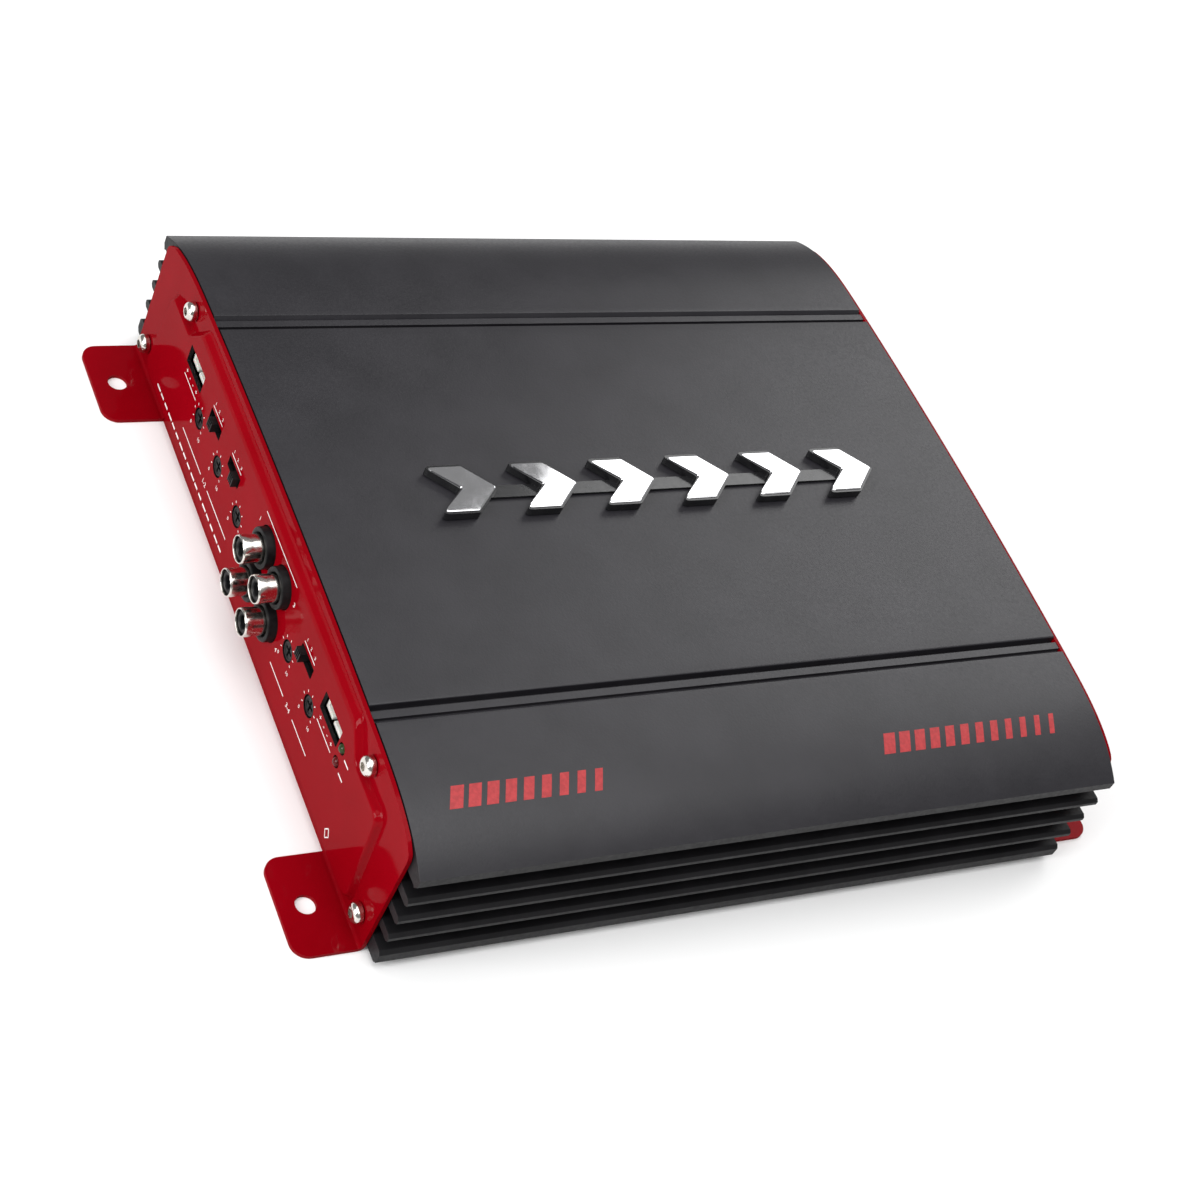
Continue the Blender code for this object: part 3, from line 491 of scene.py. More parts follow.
def outer_half():
    """The outside of the extrusion, from the foot of one rail up to the middle of the top."""
    foot = 1.2
    tip = HALF_WIDTH - 1.0
    points = [
        (RAIL_INNER, BASE_HEIGHT), (HALF_WIDTH - foot, BASE_HEIGHT),
        (HALF_WIDTH, BASE_HEIGHT + foot), (HALF_WIDTH, RAIL_TOP - 1.0), (tip, RAIL_TOP),
        (RAIL_ROOT, RAIL_TOP), (RAIL_ROOT - 0.6, 10.0), (FIN_ROOT + 1.0, FIN_BANDS[0][0]),
    ]
    for low, high in FIN_BANDS:
        if low != FIN_BANDS[0][0]:
            points.append((FIN_ROOT, low))
        points += [
            (tip, low), (HALF_WIDTH, low + 0.8), (HALF_WIDTH, high - 0.8), (tip, high),
            (FIN_ROOT, high),
        ]
    points += [(FIN_ROOT, LIP_LOW), (tip, LIP_LOW)]
    points = fillet(points, 0.45, 3)[1:]
    points.append((HALF_WIDTH, LIP_LOW + 1.0))
    steps = 30
    for i in range(steps + 1):
        y = HALF_WIDTH + (GROOVE_OUTER + 0.5 - HALF_WIDTH) * i / steps
        points.append((y, top_height(y)))
    edge = top_height(GROOVE_OUTER) - 0.2
    floor = top_height(GROOVE_OUTER) - GROOVE_DEPTH
    deep = floor - SLIT_DEPTH
    points += [
        (GROOVE_OUTER + 0.15, edge + 0.12), (GROOVE_OUTER, edge - 0.1),
        (GROOVE_OUTER - 1.1, edge - 1.6), (GROOVE_OUTER - SLIT, edge - 1.6),
        (GROOVE_OUTER - SLIT, floor), (GROOVE_INNER + SLIT, floor),
        (GROOVE_INNER + SLIT, deep), (GROOVE_INNER, deep),
        (GROOVE_INNER, edge), (GROOVE_INNER - 0.15, edge + 0.22),
    ]
    steps = 16
    for i in range(steps + 1):
        y = (GROOVE_INNER - 0.5) * (1 - i / (steps + 0.5))
        points.append((y, top_height(y)))
    return points


def inner_half():
    """The inside, with the upper screws' bosses and the slots of the board and the cover."""
    boss_y, boss_z = SCREW_PLACES[0]
    boss = 4.0
    ledge = WALL_INNER - 2.5
    points = [(y, top_height(y) - TOP_THICKNESS) for y in (10.0, 30.0, 50.0, boss_y - boss)]
    points += arc((boss_y, boss_z), boss, 180, 360, 16)
    points += [(y, top_height(y) - TOP_THICKNESS) for y in (boss_y + boss, ledge)]
    points.append((WALL_INNER, top_height(WALL_INNER) - TOP_THICKNESS - 2.0))
    for low in (BOARD_TOP, BOARD_LOW - GAP - 1.3):
        points += [(WALL_INNER, low + 1.3), (ledge, low + 1.3), (ledge, low), (WALL_INNER, low)]
    points += [
        (WALL_INNER, RAIL_TOP), (RAIL_INNER, RAIL_TOP), (RAIL_INNER, 5.4),
        (98.5, 5.4), (98.5, 3.4), (RAIL_INNER, 3.4),
    ]
    return points


def make_heat_sink():
    inner = inner_half()
    outline = both_halves(outer_half()) + [(-y, z) for y, z in reversed(inner)] + inner
    sink = new_object("heat_sink_extrusion", prism(outline, "X", -HALF_LENGTH, HALF_LENGTH))
    past = HALF_LENGTH + 2.0
    bores = [
        merged(prism(circle(p, SCREW_HOLE_RADIUS, 16), "X", low, high) for p in SCREW_PLACES)
        for low, high in ((-past, -BORE_END), (BORE_END, past))
    ]
    combine(sink, "DIFFERENCE", bores)
    soften(sink, 0.25, angle=60)
    dress(sink, "coat", "heat_sink", ["heat_sink"])
    # Faces below the lip get the darker copy of the coat as painted shade.
    sink.data.materials.append(FINISHES["fins_painted_shade"])
    fin_shade_top = (LIP_LOW + 3.0) * MM
    for face in sink.data.polygons:
        if face.center.z < fin_shade_top:
            face.material_index = 1


def make_cover():
    """The bottom sheet, with four shallow beads rolled along it."""
    low, high, depth = 3.7, 5.1, 0.9
    edge, end = 98.2, 114.8
    bead = ((-4.0, 0.0), (-2.6, 0.55), (-1.2, 0.95), (1.2, 0.95), (2.6, 0.55), (4.0, 0.0))
    under, over = [], []
    for middle in (-66.0, -22.0, 22.0, 66.0):
        for reach, share in bead:
            under.append((middle + reach, low - depth * share))
            over.append((middle + reach, high - depth * share))
    outline = [(-edge, low)] + under + [(edge, low), (edge, high)] + over[::-1] + [(-edge, high)]
    cover = new_object("bottom_cover_sheet", prism(outline, "X", -end, end))
    soften(cover, 0.2, angle=60)
    dress(cover, "steel", "bottom_cover", ["bottom_cover"])


def chevron(middle, grow=0.0):
    """An arrow's outline in (x, y), pointing along +X, grown all round."""
    back, front = middle - 10.5 - grow, middle + 10.5 + grow
    half = 9.0 + grow
    stroke_width = 12.0 + grow
    notch = front - stroke_width - 0.6 * grow
    return [
        (back, -half), (back + stroke_width, -half), (front, 0.0),
        (back + stroke_width, half), (back, half), (notch, 0.0),
    ]


def make_emblem():
    """Gloss black chevrons on a strip, each with a chrome face let into its top."""
    middles = [3.0 + (i - 2.5) * 26.4 for i in range(6)]
    base = TOP_HEIGHT + GAP
    strip = rectangle((middles[0], -2.2), (middles[-1] + 4.0, 2.2), 0.8)
    backing = new_object("emblem_backing", prism(strip, "Z", base, base + 0.6))
    tiles = [prism(fillet(chevron(m), 1.1), "Z", base - 0.05, base + 2.55) for m in middles]
    combine(backing, "UNION", [merged(tiles)])
    soften(backing, 0.3)
    dress(backing, "gloss", "top_emblem", ["top_emblem"])
    faces = []
    for middle in middles:
        wide = fillet(chevron(middle, -0.75), 0.8)
        slim = fillet(chevron(middle, -1.25), 0.7)
        faces.append(loft([wide, wide, slim], [base + 2.3, base + 2.7, base + 3.0], "Z"))
    chrome = new_object("emblem_chrome_faces", merged(faces))
    dress(chrome, "chrome", "top_emblem")


def make_top_print():
    """Two rows of slanted bars printed on the near shoulder, along its curve."""
    middle, half, lift, slant = -97.0, 3.1, 0.04, 0.35
    levels = [middle + half * (k / 2 - 1) for k in range(5)]
    bars = []
    for start, end, count in ((-102.0, -54.0, 9), (35.5, 102.0, 12)):
        pitch = (end - start) / count
        for i in range(count):
            outlines = []
            for y in levels:
                left = start + i * pitch + slant * (y - middle)
                right = left + pitch * (0.72 - 0.035 * i)
                top = top_height(y)
                outlines.append(rectangle((left, top - lift), (right, top + lift)))
            bars.append(loft(outlines, levels, "Y"))
    ink = new_object("shoulder_print", merged(bars))
    dress(ink, "red_ink", "heat_sink")


# ---- end panels ----


def flange_outline(drop):
    """drop is how far the upper edge stays below the heat sink's top."""
    leg = 5.0
    edge = PANEL_HALF_WIDTH
    points = [(TAB_NEAR, 0.0), (TAB_NEAR, leg), (edge, leg)]
    points += [(edge, 41.6), (edge - 0.25, 42.9), (edge - 0.9, 44.0), (edge - 2.0, 44.8)]
    steps = 40
    for i in range(steps):
        y = (edge - 4.0) * (1 - i / steps)
        points.append((y, top_height(y) - drop))
    return both_halves(points)


def pressed_solid(start, face, shrink=0.0):
    """The raised middle, eased where it leaves the flat sheet. It fills from start outwards."""
    def corner_loop(half):
        loop = fillet(both_halves([(y - shrink, z) for y, z in half]), 4.0, 6)
        return [(y, z - shrink if z > 20 else z + shrink) for y, z in loop]

    rim, top = corner_loop(PRESS_RIM), corner_loop(PRESS_TOP)
    steps = 8
    shares = [i / steps for i in range(steps + 1)]
    rises = [PRESS_DEPTH * (1 - math.cos(math.pi * share)) / 2 for share in shares]
    levels = [start] + [face + rise for rise in rises[1:]]
    return loft([between(rim, top, share) for share in shares], levels)


def tab(direction):
    """A mounting tab with its bend. direction is the sign of its y."""
    inner = 1.0
    outer = inner + SHEET
    centre = (FLANGE_FACE + inner, outer)
    leg = 6.5
    outline = [(TAB_REACH, 0.0)] + arc(centre, outer, 270, 180, 10)
    outline += [(PANEL_INNER, leg), (FLANGE_FACE, leg)] + arc(centre, inner, 180, 270, 8)
    outline.append((TAB_REACH, SHEET))
    low, high = sorted((direction * TAB_NEAR, direction * PANEL_HALF_WIDTH))
    shape = prism(outline, "Y", low, high)
    corners = [
        edge for edge in shape.edges
        if all(vert.co.x > TAB_REACH - 0.1 for vert in edge.verts)
        and abs(edge.verts[0].co.y - edge.verts[1].co.y) < 0.1
    ]
    bmesh.ops.bevel(
        shape, geom=corners, offset=5.0, segments=10, profile=0.5, affect="EDGES"
    )
    return shape


def make_panel(name, node, side, windows, drop):
    """A pressed and bent sheet in red enamel, with the walls round its windows painted black as
    shade.
    """
    flange = prism(flange_outline(drop), "X", PANEL_INNER, FLANGE_FACE)
    panel = new_object(name, flipped(flange, side))
    raised = pressed_solid(FLANGE_FACE - OVERLAP, FLANGE_FACE)
    combine(panel, "UNION", [flipped(raised, side), flipped(tab(1), side), flipped(tab(-1), side)])
    hollow = pressed_solid(PANEL_INNER - OVERLAP, PANEL_INNER, 0.4)
    combine(panel, "DIFFERENCE", [flipped(hollow, side)])
    through = (110.0, 120.0)
    screws = merged(
        prism(circle(p, SCREW_HOLE_RADIUS, 24), "X", *through) for p in SCREW_PLACES
    )
    holes = merged(
        prism(circle((TAB_HOLE[0], y), TAB_HOLE_RADIUS, 40), "Z", -PAST, SHEET + PAST)
        for y in (TAB_HOLE[1], -TAB_HOLE[1])
    )
    openings = merged(
        prism(outline, "X", PANEL_INNER - PAST, PRESS_FACE + PAST) for outline in windows
    )
    combine(panel, "DIFFERENCE", [flipped(shape, side) for shape in (screws, holes, openings)])
    soften(panel, 0.16, angle=55)
    dress(panel, "red", node, [node], 32)
    # The walls of the windows get the black plastic finish: painted shade in the openings.
    panel.data.materials.append(FINISHES["plastic"])
    above_tabs = 10.0 * MM
    for face in panel.data.polygons:
        inside = (PRESS_FACE - SHEET) * MM < abs(face.center.x) < PRESS_FACE * MM
        if inside and face.center.z > above_tabs and abs(face.normal.x) < 0.2:
            face.material_index = 1


def around(y, z, width, height):
    """A rectangle about a place on a panel."""
    return rectangle((y - width / 2, z - height / 2), (y + width / 2, z + height / 2), 0.4)


def input_windows():
    holes = [circle(place, 6.3) for place in JACK_PLACES]
    holes += [circle((y, POT_Z), 3.3, 32) for y in POT_PLACES]
    holes += [circle((LED_Y, z), 1.8, 24) for z in LED_HEIGHTS.values()]
    holes += [around(y, SWITCH_Z, 9.6, 3.9) for y in SWITCH_PLACES]
    holes += [around(y, SOCKET_Z, 13.6, 6.6) for y in SOCKET_PLACES]
    return holes


def power_windows():
    return [
        rectangle((2.2, 12.6), (81.8, 31.3), 0.6),
        rectangle((-49.8, 12.6), (-4.2, 34.3), 0.6),
        rectangle((-86.3, 12.6), (-56.7, 35.8), 0.6),
    ]


def make_panel_screws():
    """Button-head screws with a hexagon socket."""
    tip, shank = 106.0, 1.4
    start = FLANGE_FACE + GAP
    rim, dome, flat = 1.2, 1.6, 1.35     # the head's edge, its rounding and its flat face
    face = start + rim + dome
    head = [(start, 2.8), (start + 0.15, 2.95), (start + 1.1, 2.95)]
    head += [
        (start + rim + dome * math.sin(a), flat + dome * math.cos(a))
        for a in (math.radians(9 * i) for i in range(1, 11))
    ]
    profile = [(tip, 0.0), (tip, shank), (start, shank)] + head + [(face, 0.0)]
    for side, end in ((-1, "input"), (1, "power")):
        for number, place in enumerate(SCREW_PLACES, 1):
            bore = prism(fillet(circle(place, flat, 6), 0.12, 2), "X", face - 1.3, face + PAST)
            shape = flipped(turned(profile, place), side)
            screw = new_object(f"{end}_panel_button_screw_{number}", shape)
            combine(screw, "DIFFERENCE", [flipped(bore, side)])
            soften(screw, 0.08)
            node = f"{end}_panel_screw_{number}"
            dress(screw, "nickel", node, [node], 40)


# ---- input end ----


def make_jacks():
    """The block of jacks, with its insulators and centre contacts, and the four barrels."""
    start, tip = 112.0, 127.0
    collar_face = PRESS_FACE + 2.6
    back = collar_face - 1.9
    low, high = (CONTROL_BACK, -23.2, 12.9), (116.9, 5.0, 43.5)
    block = new_object("jack_block_body", flipped(box_shape(low, high)))
    collar = [
        (start, 0.0), (start, 6.0), (collar_face - 0.5, 6.0), (collar_face - 0.14, 5.86),
        (collar_face, 5.5), (collar_face, 4.8), (collar_face - 0.3, 4.5), (back, 4.45),
        (back, 0.0),
    ]
    seat = [
        (back - 0.3, 0.0), (back - 0.3, 3.35), (tip - 1.1, 3.35), (tip - 0.7, 3.15),
        (tip - 0.7, 2.3), (tip - 1.0, 2.0), (tip - 5.0, 1.9), (tip - 5.0, 0.0),
    ]
    contact = [
        (back, 1.75), (tip - 3.4, 1.75), (tip - 3.2, 1.6), (tip - 3.3, 1.35),
        (back, 1.3),
    ]
    barrel = [
        (back + GAP, 4.05), (tip - 3.4, 4.05), (tip - 2.7, 4.1), (tip - 1.8, 4.15),
        (tip - 0.6, 4.15), (tip - 0.2, 4.07), (tip, 3.9), (tip - 0.05, 3.72),
        (tip - 0.4, 3.6), (back + GAP, 3.55),
    ]
    combine(block, "UNION", [flipped(turned(collar, place)) for place in JACK_PLACES])
    dress(block, "plastic", "rca_jack_block", ["rca_jack_block"], 40)
    seats = [flipped(turned(seat, place)) for place in JACK_PLACES]
    insulators = new_object("jack_insulators", merged(seats))
    dress(insulators, "plastic", "rca_jack_block", sharp=40)
    tubes = [flipped(turned(contact, place, ring=True, sides=32)) for place in JACK_PLACES]
    contacts = new_object("jack_centre_contacts", merged(tubes))
    dress(contacts, "nickel", "rca_jack_block", sharp=40)
    for number, place in enumerate(JACK_PLACES, 1):
        shape = flipped(turned(barrel, place, ring=True, sides=64))
        node = f"rca_barrel_{number}"
        dress(new_object(f"jack_barrel_{number}", shape), "nickel", node, [node], 40)


def make_pots():
    """Trimmer rotors with a crossed driver slot and a raised rim."""
    back, face = 112.8, PRESS_FACE - 0.2
    reach, half, depth = 2.0, 0.42, 1.2      # of the driver slot
    profile = [
        (back, 0.0), (back, 2.9), (face - 0.5, 3.0), (face - 0.15, 2.9), (face, 2.6),
        (face, 2.3), (face - 0.25, 2.1), (face - 0.25, 0.0),
    ]
    for number, y in enumerate(POT_PLACES, 1):
        shape = flipped(turned(profile, (y, POT_Z), sides=40))
        rotor = new_object(f"trimmer_rotor_{number}", shape)
        slots = [
            box_shape((face - depth, y - a, POT_Z - b), (face + PAST, y + a, POT_Z + b))
            for a, b in ((reach, half), (half, reach))
        ]
        combine(rotor, "DIFFERENCE", [flipped(shape) for shape in slots])
        soften(rotor, 0.06, 1)
        node = f"pot_rotor_{number}"
        dress(rotor, "plastic", node, [node], 40)


def make_switch_levers():
    """Slide levers with grip ridges across the top."""
    back, face = 112.3, PRESS_FACE + 2.0
    half_y, half_z = 1.6, 1.65
    for number, (middle, rest) in enumerate(zip(SWITCH_PLACES, SWITCH_REST), 1):
        y, z = middle + rest, SWITCH_Z
        shape = box_shape((back, y - half_y, z - half_z), (face, y + half_y, z + half_z))
        lever = new_object(f"slide_lever_{number}", flipped(shape))
        grooves = merged(
            box_shape((face - 0.45, at - 0.22, z - 3.0), (face + PAST, at + 0.22, z + 3.0))
            for at in (y - 0.8, y, y + 0.8)
        )
        combine(lever, "DIFFERENCE", [flipped(grooves)])
        soften(lever, 0.12)
        node = f"switch_lever_{number}"
        dress(lever, "plastic", node, [node], 40)


def make_sockets():
    """White sockets with a keyed lower wall and four pins."""
    front = PRESS_FACE - SHEET - 0.9
    past = front + PAST
    z = SOCKET_Z
    for number, y in enumerate(SOCKET_PLACES, 1):
        outside = box_shape((CONTROL_BACK, y - 7.1, z - 3.6), (front, y + 7.1, z + 3.6))
        shell = new_object(f"socket_shell_{number}", flipped(outside))
        mouth = box_shape((111.0, y - 5.9, z - 2.4), (past, y + 5.9, z + 2.4))
        key = box_shape((111.6, y + 1.1, z - 4.0), (past, y + 2.2, z - 2.2))
        combine(shell, "DIFFERENCE", [flipped(mouth), flipped(key)])
        soften(shell, 0.18)
        node = f"high_level_socket_{number}"
        dress(shell, "nylon", node, [node], 40)
        pins = []
        for at in (y - 3.6, y - 1.2, y + 1.2, y + 3.6):
            square = rectangle((at - 0.32, z - 0.8), (at + 0.32, z - 0.16))
            tip = rectangle((at - 0.12, z - 0.6), (at + 0.12, z - 0.36))
            pins.append(flipped(loft([square, square, tip], [110.8, front - 1.2, front - 0.6])))
        rods = new_object(f"socket_pins_{number}", merged(pins))
        dress(rods, "tin", node)


def make_lights():
    """Indicator lenses with a flange inside and a domed tip."""
    back, middle, radius = CONTROL_BACK, PRESS_FACE - 0.6, 1.5
    profile = [(back, 0.0), (back, 1.7), (back + 1.0, 1.7), (back + 1.0, radius)]
    profile += [
        (middle + radius * math.sin(a), radius * math.cos(a))
        for a in (math.radians(10 * i) for i in range(9))
    ]
    profile.append((middle + radius, 0.0))
    for (name, z), finish in zip(LED_HEIGHTS.items(), ("green_lens", "red_lens")):
        lens = new_object(f"{name}_lens", flipped(turned(profile, (LED_Y, z), sides=32)))
        dress(lens, finish, name, [name], 40)


# ---- printed marks ----


class Print:
    """White marks on an end panel. side is -1 at the input end and 1 at the power end."""

    def __init__(self, side):
        self.side = side
        self.marks = []

    def word(self, words, size, y, z):
        """Numbers or signs, upright and facing outwards."""
        curve = bpy.data.curves.new("numeral", "FONT")
        curve.body = words
        curve.size = size
        curve.align_x = curve.align_y = "CENTER"
        curve.extrude = 0.03
        curve.resolution_u = 3
        holder = bpy.data.objects.new("numeral", curve)
        bpy.context.scene.collection.objects.link(holder)
        depsgraph = bpy.context.evaluated_depsgraph_get()
        mesh = bpy.data.meshes.new_from_object(holder.evaluated_get(depsgraph))
        bpy.data.objects.remove(holder)
        bpy.data.curves.remove(curve)
        shape = bmesh.new()
        shape.from_mesh(mesh)
        bpy.data.meshes.remove(mesh)
        side = self.side
        turn = Matrix(((0.0, 0.0, side), (side, 0.0, 0.0), (0.0, 1.0, 0.0)))
        bmesh.ops.transform(shape, matrix=turn.to_4x4(), verts=shape.verts)
        bmesh.ops.translate(shape, verts=shape.verts, vec=(side * (PRESS_FACE + 0.01), y, z))
        self.marks.append(shape)

    def line(self, first, second, width=0.35):
        """A stroke between two (y, z) points."""
        a, b = Vector(first), Vector(second)
        across = Vector((-(b - a).y, (b - a).x)).normalized() * width / 2
        outline = [tuple(a + across), tuple(b + across), tuple(b - across), tuple(a - across)]
        low, high = sorted((self.side * (PRESS_FACE - 0.02), self.side * (PRESS_FACE + 0.04)))
        self.marks.append(prism(outline, "X", low, high))

    def level_line(self, start, end, z, width=0.35):
        self.line((start, z), (end, z), width)

    def make(self, name, node):
        ink = new_object(name, merged(self.marks))
        dress(ink, "white_ink", node)


def print_control_marks(ink):
    """The marks round each control, jack, socket and lamp."""
    for y in POT_PLACES:
        for i in range(7):
            a = math.radians(-120 + 40 * i)
            out = Vector((math.sin(a), math.cos(a)))
            centre = Vector((y, POT_Z))
            ink.line(centre + out * 3.9, centre + out * 4.6, 0.28)
        ink.word("0", 1.7, y + 3.9, POT_Z - 5.2)
        ink.word("10", 1.7, y - 3.7, POT_Z - 5.2)
    for y in SWITCH_PLACES:
        ink.level_line(y + 4.2, y - 4.2, SWITCH_Z + 3.4, 0.3)
        for step, word in ((3.2, "1"), (0.0, "2"), (-3.2, "3")):
            ink.word(word, 1.6, y + step, SWITCH_Z + 5.0)
    for word, (y, z) in zip("1234", JACK_PLACES):
        out = 8.4 if y > -10 else -8.4
        ink.word(word, 2.2, y + out, z + (2.5 if z > 30 else -2.5))
    ink.level_line(4.5, -22.7, 44.2, 0.3)
    for y in SOCKET_PLACES:
        z = SOCKET_Z - 5.2
        for step, word in ((4.4, "+"), (1.4, "-"), (-1.4, "-"), (-4.4, "+")):
            ink.word(word, 2.4, y + step, z)
        ink.level_line(y + 5.6, y - 5.6, z - 2.0, 0.3)
    for z in LED_HEIGHTS.values():
        ink.level_line(LED_Y - 3.0, LED_Y - 6.0, z - 1.0, 0.5)


def make_input_print():
    ink = Print(-1)
    print_control_marks(ink)
    ink.level_line(63.0, 44.5, 14.7)
    ink.level_line(38.0, 19.5, 14.7)
    ink.word("1-2", 2.4, 41.2, 14.7)
    ink.level_line(-24.5, -36.5, 14.2)
    ink.level_line(-44.5, -56.7, 14.2)
    ink.word("3-4", 2.4, -40.5, 14.2)
    for i in range(17):
        start = 86.0 - 4.0 * i
        length = 2.6 if i % 3 else 3.2
        ink.level_line(start, start - length, 9.2, 0.7)
    diamond = [(-79.0, 12.0), (-77.6, 10.0), (-79.0, 8.0), (-80.4, 10.0)]
    for a, b in zip(diamond, diamond[1:] + diamond[:1]):
        ink.line(a, b)
    ink.make("input_panel_print", "input_end_panel")


def make_power_print():
    ink = Print(1)
    for number, y in enumerate(SPEAKER_WAYS):
        ink.word("+" if number % 2 else "-", 3.0, y, 33.6)
    for pair in range(4):
        y = (SPEAKER_WAYS[2 * pair] + SPEAKER_WAYS[2 * pair + 1]) / 2
        ink.level_line(y - 6.5, y + 6.5, 35.6)
        ink.word(str(4 - pair), 2.8, y, 38.4)
    for y, word in zip(POWER_WAYS, ("-", "1", "+")):
        ink.word(word, 3.2, y, 37.2)
    ink.level_line(-48.0, -6.0, 39.6)
    ink.make("power_panel_print", "power_end_panel")


# ---- power end ----


def make_terminal_block(name, ways, pitch, top, face, wire, screw):
    """A moulded block with a metal clamp and a sunk set screw for each wire.

    ways are the wires' y, wire is an entry's (half width, lowest z, highest z), and screw is a
    set screw's (radius, x).
    """
    half, low_z, high_z = wire
    radius, screw_x = screw
    node = f"{name}_terminal_block"
    profile = [
        (POWER_BACK, BOARD_TOP), (face, BOARD_TOP), (face, top - 1.6), (face - 1.6, top),
        (POWER_BACK, top),
    ]

    def entry(y, inset, radius):
        low, high = (y - half + inset, low_z + inset), (y + half - inset, high_z - inset)
        return rectangle(low, high, radius)

    margin = pitch / 2 + 1.5
    body = prism(fillet(profile, 0.5, 2), "Y", ways[0] - margin, ways[-1] + margin)
    block = new_object(f"{name}_block_body", body)
    past, above = face + PAST, top + PAST
    reach = pitch / 2 - 0.7
    recesses = merged(
        box_shape((119.6, y - reach, top - 0.5), (face - 2.2, y + reach, above)) for y in ways
    )
    slots = merged(
        box_shape((face - 0.6, y - 0.45, BOARD_TOP - PAST), (past, y + 0.45, above))
        for y in (way + pitch / 2 for way in ways[:-1])
    )
    entries = merged(prism(entry(y, 0.0, 0.5), "X", face - 14.0, past) for y in ways)
    wells = merged(
        prism(circle((screw_x, y), radius + GAP, 32), "Z", high_z - 0.5, above) for y in ways
    )
    combine(block, "DIFFERENCE", [recesses, slots, entries, wells])
    soften(block, 0.2)
    dress(block, "plastic", node, [node], 35)

    cages = []
    for y in ways:
        outer, inner = entry(y, 0.1, 0.5), entry(y, 0.7, 0.4)
        cages.append(sleeve(outer, inner, face - 13.6, screw_x - radius - 0.6))
        floor = [
            (face - 13.0, low_z + 0.2), (face - 1.4, low_z + 0.2), (face - 1.0, low_z + 0.9),
            (face - 13.0, low_z + 0.9),
        ]
        cages.append(prism(floor, "Y", y - half + 0.4, y + half - 0.4))
    clamps = new_object(f"{name}_clamp_cages", merged(cages))
    dress(clamps, "tin", node, sharp=30)
    make_set_screws(name, ways, screw_x, radius, high_z + 0.4, top - 0.8)


def make_set_screws(name, ways, x, radius, foot, head):
    """Threaded screws with a hexagon socket, upright from foot to head."""
    pitch = 0.7
    profile = [(foot, 0.0), (foot, radius - 0.7), (foot + 0.5, radius - 0.15)]
    for i in range(int((head - foot - 2 * pitch) / pitch)):
        level = foot + 0.6 + pitch * i
        profile += [(level, radius - 0.3), (level + pitch / 2, radius - 0.02)]
    profile += [
        (head - 0.5, radius), (head - 0.12, radius - 0.3), (head, radius - 0.45), (head, 0.0),
    ]
    for number, y in enumerate(ways, 1):
        shape = turned(profile, (x, y), "Z", sides=36)
        screw = new_object(f"{name}_set_screw_{number}", shape)
        hexagon = fillet(circle((x, y), 0.62 * radius, 6), 0.1, 2)
        combine(screw, "DIFFERENCE", [prism(hexagon, "Z", head - 2.4, head + PAST)])
        soften(screw, 0.07, 1)
        node = f"{name}_clamp_screw_{number}"
        dress(screw, "nickel", node, [node], 40)


def make_fuses():
    """The holder, and two blade fuses with their metal."""
    face, half, top = 121.0, 14.5, 35.5
    past = face + PAST
    body = box_shape((POWER_BACK, FUSE_Y - half, BOARD_TOP), (face, FUSE_Y + half, top))
    holder = new_object("fuse_holder_body", body)
    pockets = merged(
        prism(rectangle((FUSE_Y - 9.9, z - 2.9), (FUSE_Y + 9.9, z + 2.9), 0.5), "X", 117.7, past)
        for z in FUSE_HEIGHTS
    )
    slots = merged(
        box_shape((109.7, FUSE_Y + low, z - 0.7), (118.6, FUSE_Y + high, z + 0.7))
        for z in FUSE_HEIGHTS
        for low, high in ((-9.6, -3.9), (3.9, 9.6))
    )
    thumbs = merged(
        box_shape((face - 1.6, FUSE_Y - 4.0, z - 4.4), (past, FUSE_Y + 4.0, z + 4.4))
        for z in FUSE_HEIGHTS
    )
    combine(holder, "DIFFERENCE", [pockets, slots, thumbs])
    soften(holder, 0.35)
    dress(holder, "plastic", "fuse_holder", ["fuse_holder"], 35)
    for number, z in enumerate(FUSE_HEIGHTS, 1):
        make_fuse(number, z)


def make_fuse(number, z):
    node = f"blade_fuse_{number}"
    rise = [(118.0, 2.1), (121.5, 2.1), (122.3, 2.6), (126.4, 2.6), (127.0, 2.0)]
    grip = [(x, z - up) for x, up in rise] + [(x, z + up) for x, up in reversed(rise)]
    body = new_object(f"fuse_body_{number}", prism(grip, "Y", FUSE_Y - 9.6, FUSE_Y + 9.6))
    ports = merged(
        box_shape((125.4, y - 1.3, z - 0.8), (128.0, y + 1.3, z + 0.8))
        for y in (FUSE_Y - 6.6, FUSE_Y + 6.6)
    )
    waist = box_shape((117.0, FUSE_Y - 1.6, z - 4.0), (120.5, FUSE_Y + 1.6, z + 4.0))
    combine(body, "DIFFERENCE", [ports, waist])
    soften(body, 0.22)
    dress(body, "fuse", node, [node], 40)
    metal = []
    sections = ((110.0, 0.12, 0.9), (110.9, 0.38, 0.0), (125.3, 0.38, 0.0))
    for low, high in ((-9.0, -4.4), (4.4, 9.0)):
        outlines = [
            rectangle((FUSE_Y + low + inset, z - thick), (FUSE_Y + high - inset, z + thick))
            for _, thick, inset in sections
        ]
        metal.append(loft(outlines, [x for x, _, _ in sections]))
    link = rectangle((FUSE_Y - 4.6, z - 0.3), (FUSE_Y + 4.6, z + 0.3))
    metal.append(prism(link, "X", 122.6, 123.6))
    blades = new_object(f"fuse_blades_{number}", merged(metal))
    dress(blades, "tin", node, sharp=30)


# ---- inside ----


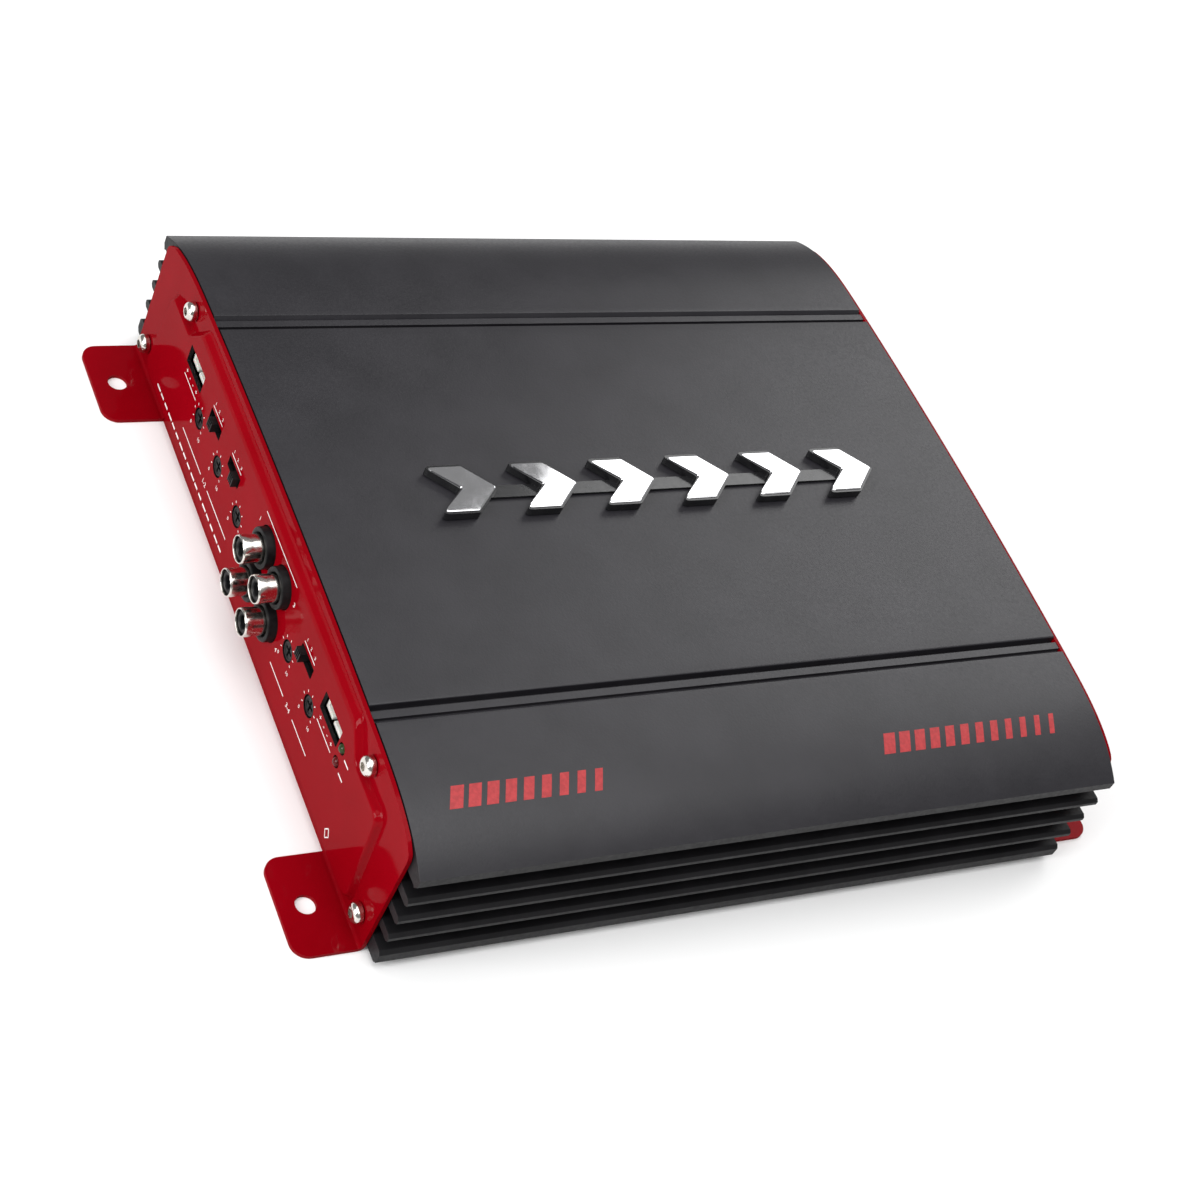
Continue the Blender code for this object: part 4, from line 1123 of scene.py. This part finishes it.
def make_transformer():
    """A toroid with the turns of its winding."""
    middle = Vector((45.0, -25.0, 20.4))
    round_steps, tube_steps, turns = 360, 14, 60
    ring_radius, tube_radius, wire = 20.0, 7.0, 0.42
    shape = bmesh.new()
    rings = []
    for i in range(round_steps):
        a = 2 * math.pi * i / round_steps
        ring = []
        for k in range(tube_steps):
            b = 2 * math.pi * k / tube_steps
            radius = tube_radius + wire * abs(math.sin(0.5 * turns * a + 0.5 * b))
            out = ring_radius + radius * math.cos(b)
            offset = Vector((out * math.cos(a), out * math.sin(a), radius * math.sin(b)))
            ring.append(shape.verts.new(middle + offset))
        rings.append(ring)
    bridge(shape, rings + rings[:1])
    toroid = new_object("transformer_winding", shape)
    dress(toroid, "copper", "power_transformer", ["power_transformer"], 60)


def make_capacitor():
    """A sleeved can with a crimp and a scored top."""
    x, y = 45.0, 32.0
    profile = [
        (12.9, 0.0), (12.9, 10.2), (13.4, 10.9), (14.6, 11.0), (15.4, 10.5), (16.2, 11.0),
        (41.2, 11.0), (41.8, 10.7), (42.0, 10.0), (41.7, 9.6), (41.6, 0.0),
    ]
    can = new_object("capacitor_can", turned(profile, (x, y), "Z"))
    scores = [
        box_shape((x - a, y - b, 41.2), (x + a, y + b, 43.0)) for a, b in ((6.0, 0.3), (0.3, 6.0))
    ]
    combine(can, "DIFFERENCE", scores)
    dress(can, "sleeve", "filter_capacitor", ["filter_capacitor"], 40)


def make_device_banks():
    """Six devices against each side wall, and the bar that clamps them."""
    for direction, label in ((1, "far"), (-1, "near")):
        def slab(outline, near, far):
            return prism(outline, "Y", *sorted((near, far)))

        wall = direction * (WALL_INNER - GAP)
        inner = wall - direction * 5.0
        face = inner - direction * 3.0
        bar = slab(rectangle((-75.0, 24.0), (75.0, 31.0), 0.8), inner + direction * 0.6, face)
        bank = new_object(f"device_bank_{label}", bar)
        devices = merged(
            slab(rectangle((x - 8.0, 14.6), (x + 8.0, 34.6), 0.6), inner, wall)
            for x in (-62.0, -37.0, -12.0, 13.0, 38.0, 63.0)
        )
        combine(bank, "UNION", [devices])
        dimples = merged(
            slab(circle((x, 27.5), 2.4, 24), face - direction * PAST, face + direction * 0.8)
            for x in (-49.5, -24.5, 0.5, 25.5, 50.5)
        )
        combine(bank, "DIFFERENCE", [dimples])
        soften(bank, 0.25)
        node = f"output_device_bank_{label}"
        dress(bank, "steel", node, [node], 35)


def finish_plain_nodes():
    """The CAD nodes that keep their own shape."""
    kept = {"main_circuit_board": "board", "control_board": "board"}
    kept.update({f"pot_body_{i}": "plastic" for i in range(1, 6)})
    kept.update({f"switch_body_{i}": "plastic" for i in range(1, 4)})
    for name, finish in kept.items():
        node = frame["nodes"][name]
        node.data.materials.clear()
        node.data.materials.append(FINISHES[finish])


# ---- stage ----


def make_floor():
    shape = bmesh.new()
    bmesh.ops.create_grid(shape, x_segments=1, y_segments=1, size=3000.0)
    floor = new_object("floor", shape)
    paper = Finish("pale_paper", Roughness=0.9)
    paper.colour(paper.noise(3.0, 2.0), (0.86, 0.86, 0.86), (0.88, 0.88, 0.88))
    floor.data.materials.append(paper.material)


def add_light(name, place, aim, size, power):
    """A rectangular area light. place, aim and size are in metres, and power is in watts."""
    data = bpy.data.lights.new(name, "AREA")
    data.shape = "RECTANGLE"
    data.size, data.size_y = size
    data.energy = power
    light = bpy.data.objects.new(name, data)
    light.location = place
    light.rotation_euler = (Vector(aim) - Vector(place)).to_track_quat("-Z", "Y").to_euler()
    bpy.context.scene.collection.objects.link(light)


def make_stage():
    make_floor()
    world = bpy.data.worlds.new("studio")
    world.use_nodes = True
    background = world.node_tree.nodes["Background"]
    background.inputs["Color"].default_value = (1.0, 1.0, 1.0, 1.0)
    background.inputs["Strength"].default_value = 0.25
    bpy.context.scene.world = world
    bpy.context.scene.view_settings.view_transform = "Standard"
    add_light("overhead", (-0.25, -0.2, 1.7), (-0.05, 0.0, 0.0), (2.3, 2.3), 40.0)
    add_light("far_right_softbox", (1.04, 0.60, 0.88), (0.05, -0.05, 0.05), (0.80, 0.80), 5.0)
    add_light("left_panel", (-1.1, -0.2, 0.5), (-0.1, 0.0, 0.03), (0.6, 0.5), 10.0)


def make_camera():
    """The photograph's view, solved from the heat sink's edges, in metres."""
    place = Vector((-0.37190, -0.38625, 0.51172))
    aim = Vector((-0.01616, -0.02115, 0.02600))
    roll = math.radians(29.34)
    data = bpy.data.cameras.new("camera")
    data.sensor_width = 36.0
    data.lens = 71.65
    camera = bpy.data.objects.new("camera", data)
    look = (aim - place).to_track_quat("-Z", "Y").to_matrix()
    camera.location = place
    camera.rotation_euler = (look @ Matrix.Rotation(roll, 3, "Z")).to_euler()
    bpy.context.scene.collection.objects.link(camera)
    bpy.context.scene.camera = camera


FINISHES = make_finishes()
make_heat_sink()
make_cover()
make_emblem()
make_top_print()
make_panel("input_panel_sheet", "input_end_panel", -1, input_windows(), drop=GAP)
make_panel("power_panel_sheet", "power_end_panel", 1, power_windows(), drop=0.75)
make_panel_screws()
make_jacks()
make_pots()
make_switch_levers()
make_sockets()
make_lights()
make_input_print()
make_power_print()
make_terminal_block("speaker", SPEAKER_WAYS, 9.5, 31.0, 131.0, (3.6, 16.0, 22.6), (2.3, 125.0))
make_terminal_block("power", POWER_WAYS, 14.0, 34.0, 133.0, (5.2, 15.8, 25.2), (3.1, 126.0))
make_fuses()
make_transformer()
make_capacitor()
make_device_banks()
finish_plain_nodes()
make_stage()
make_camera()
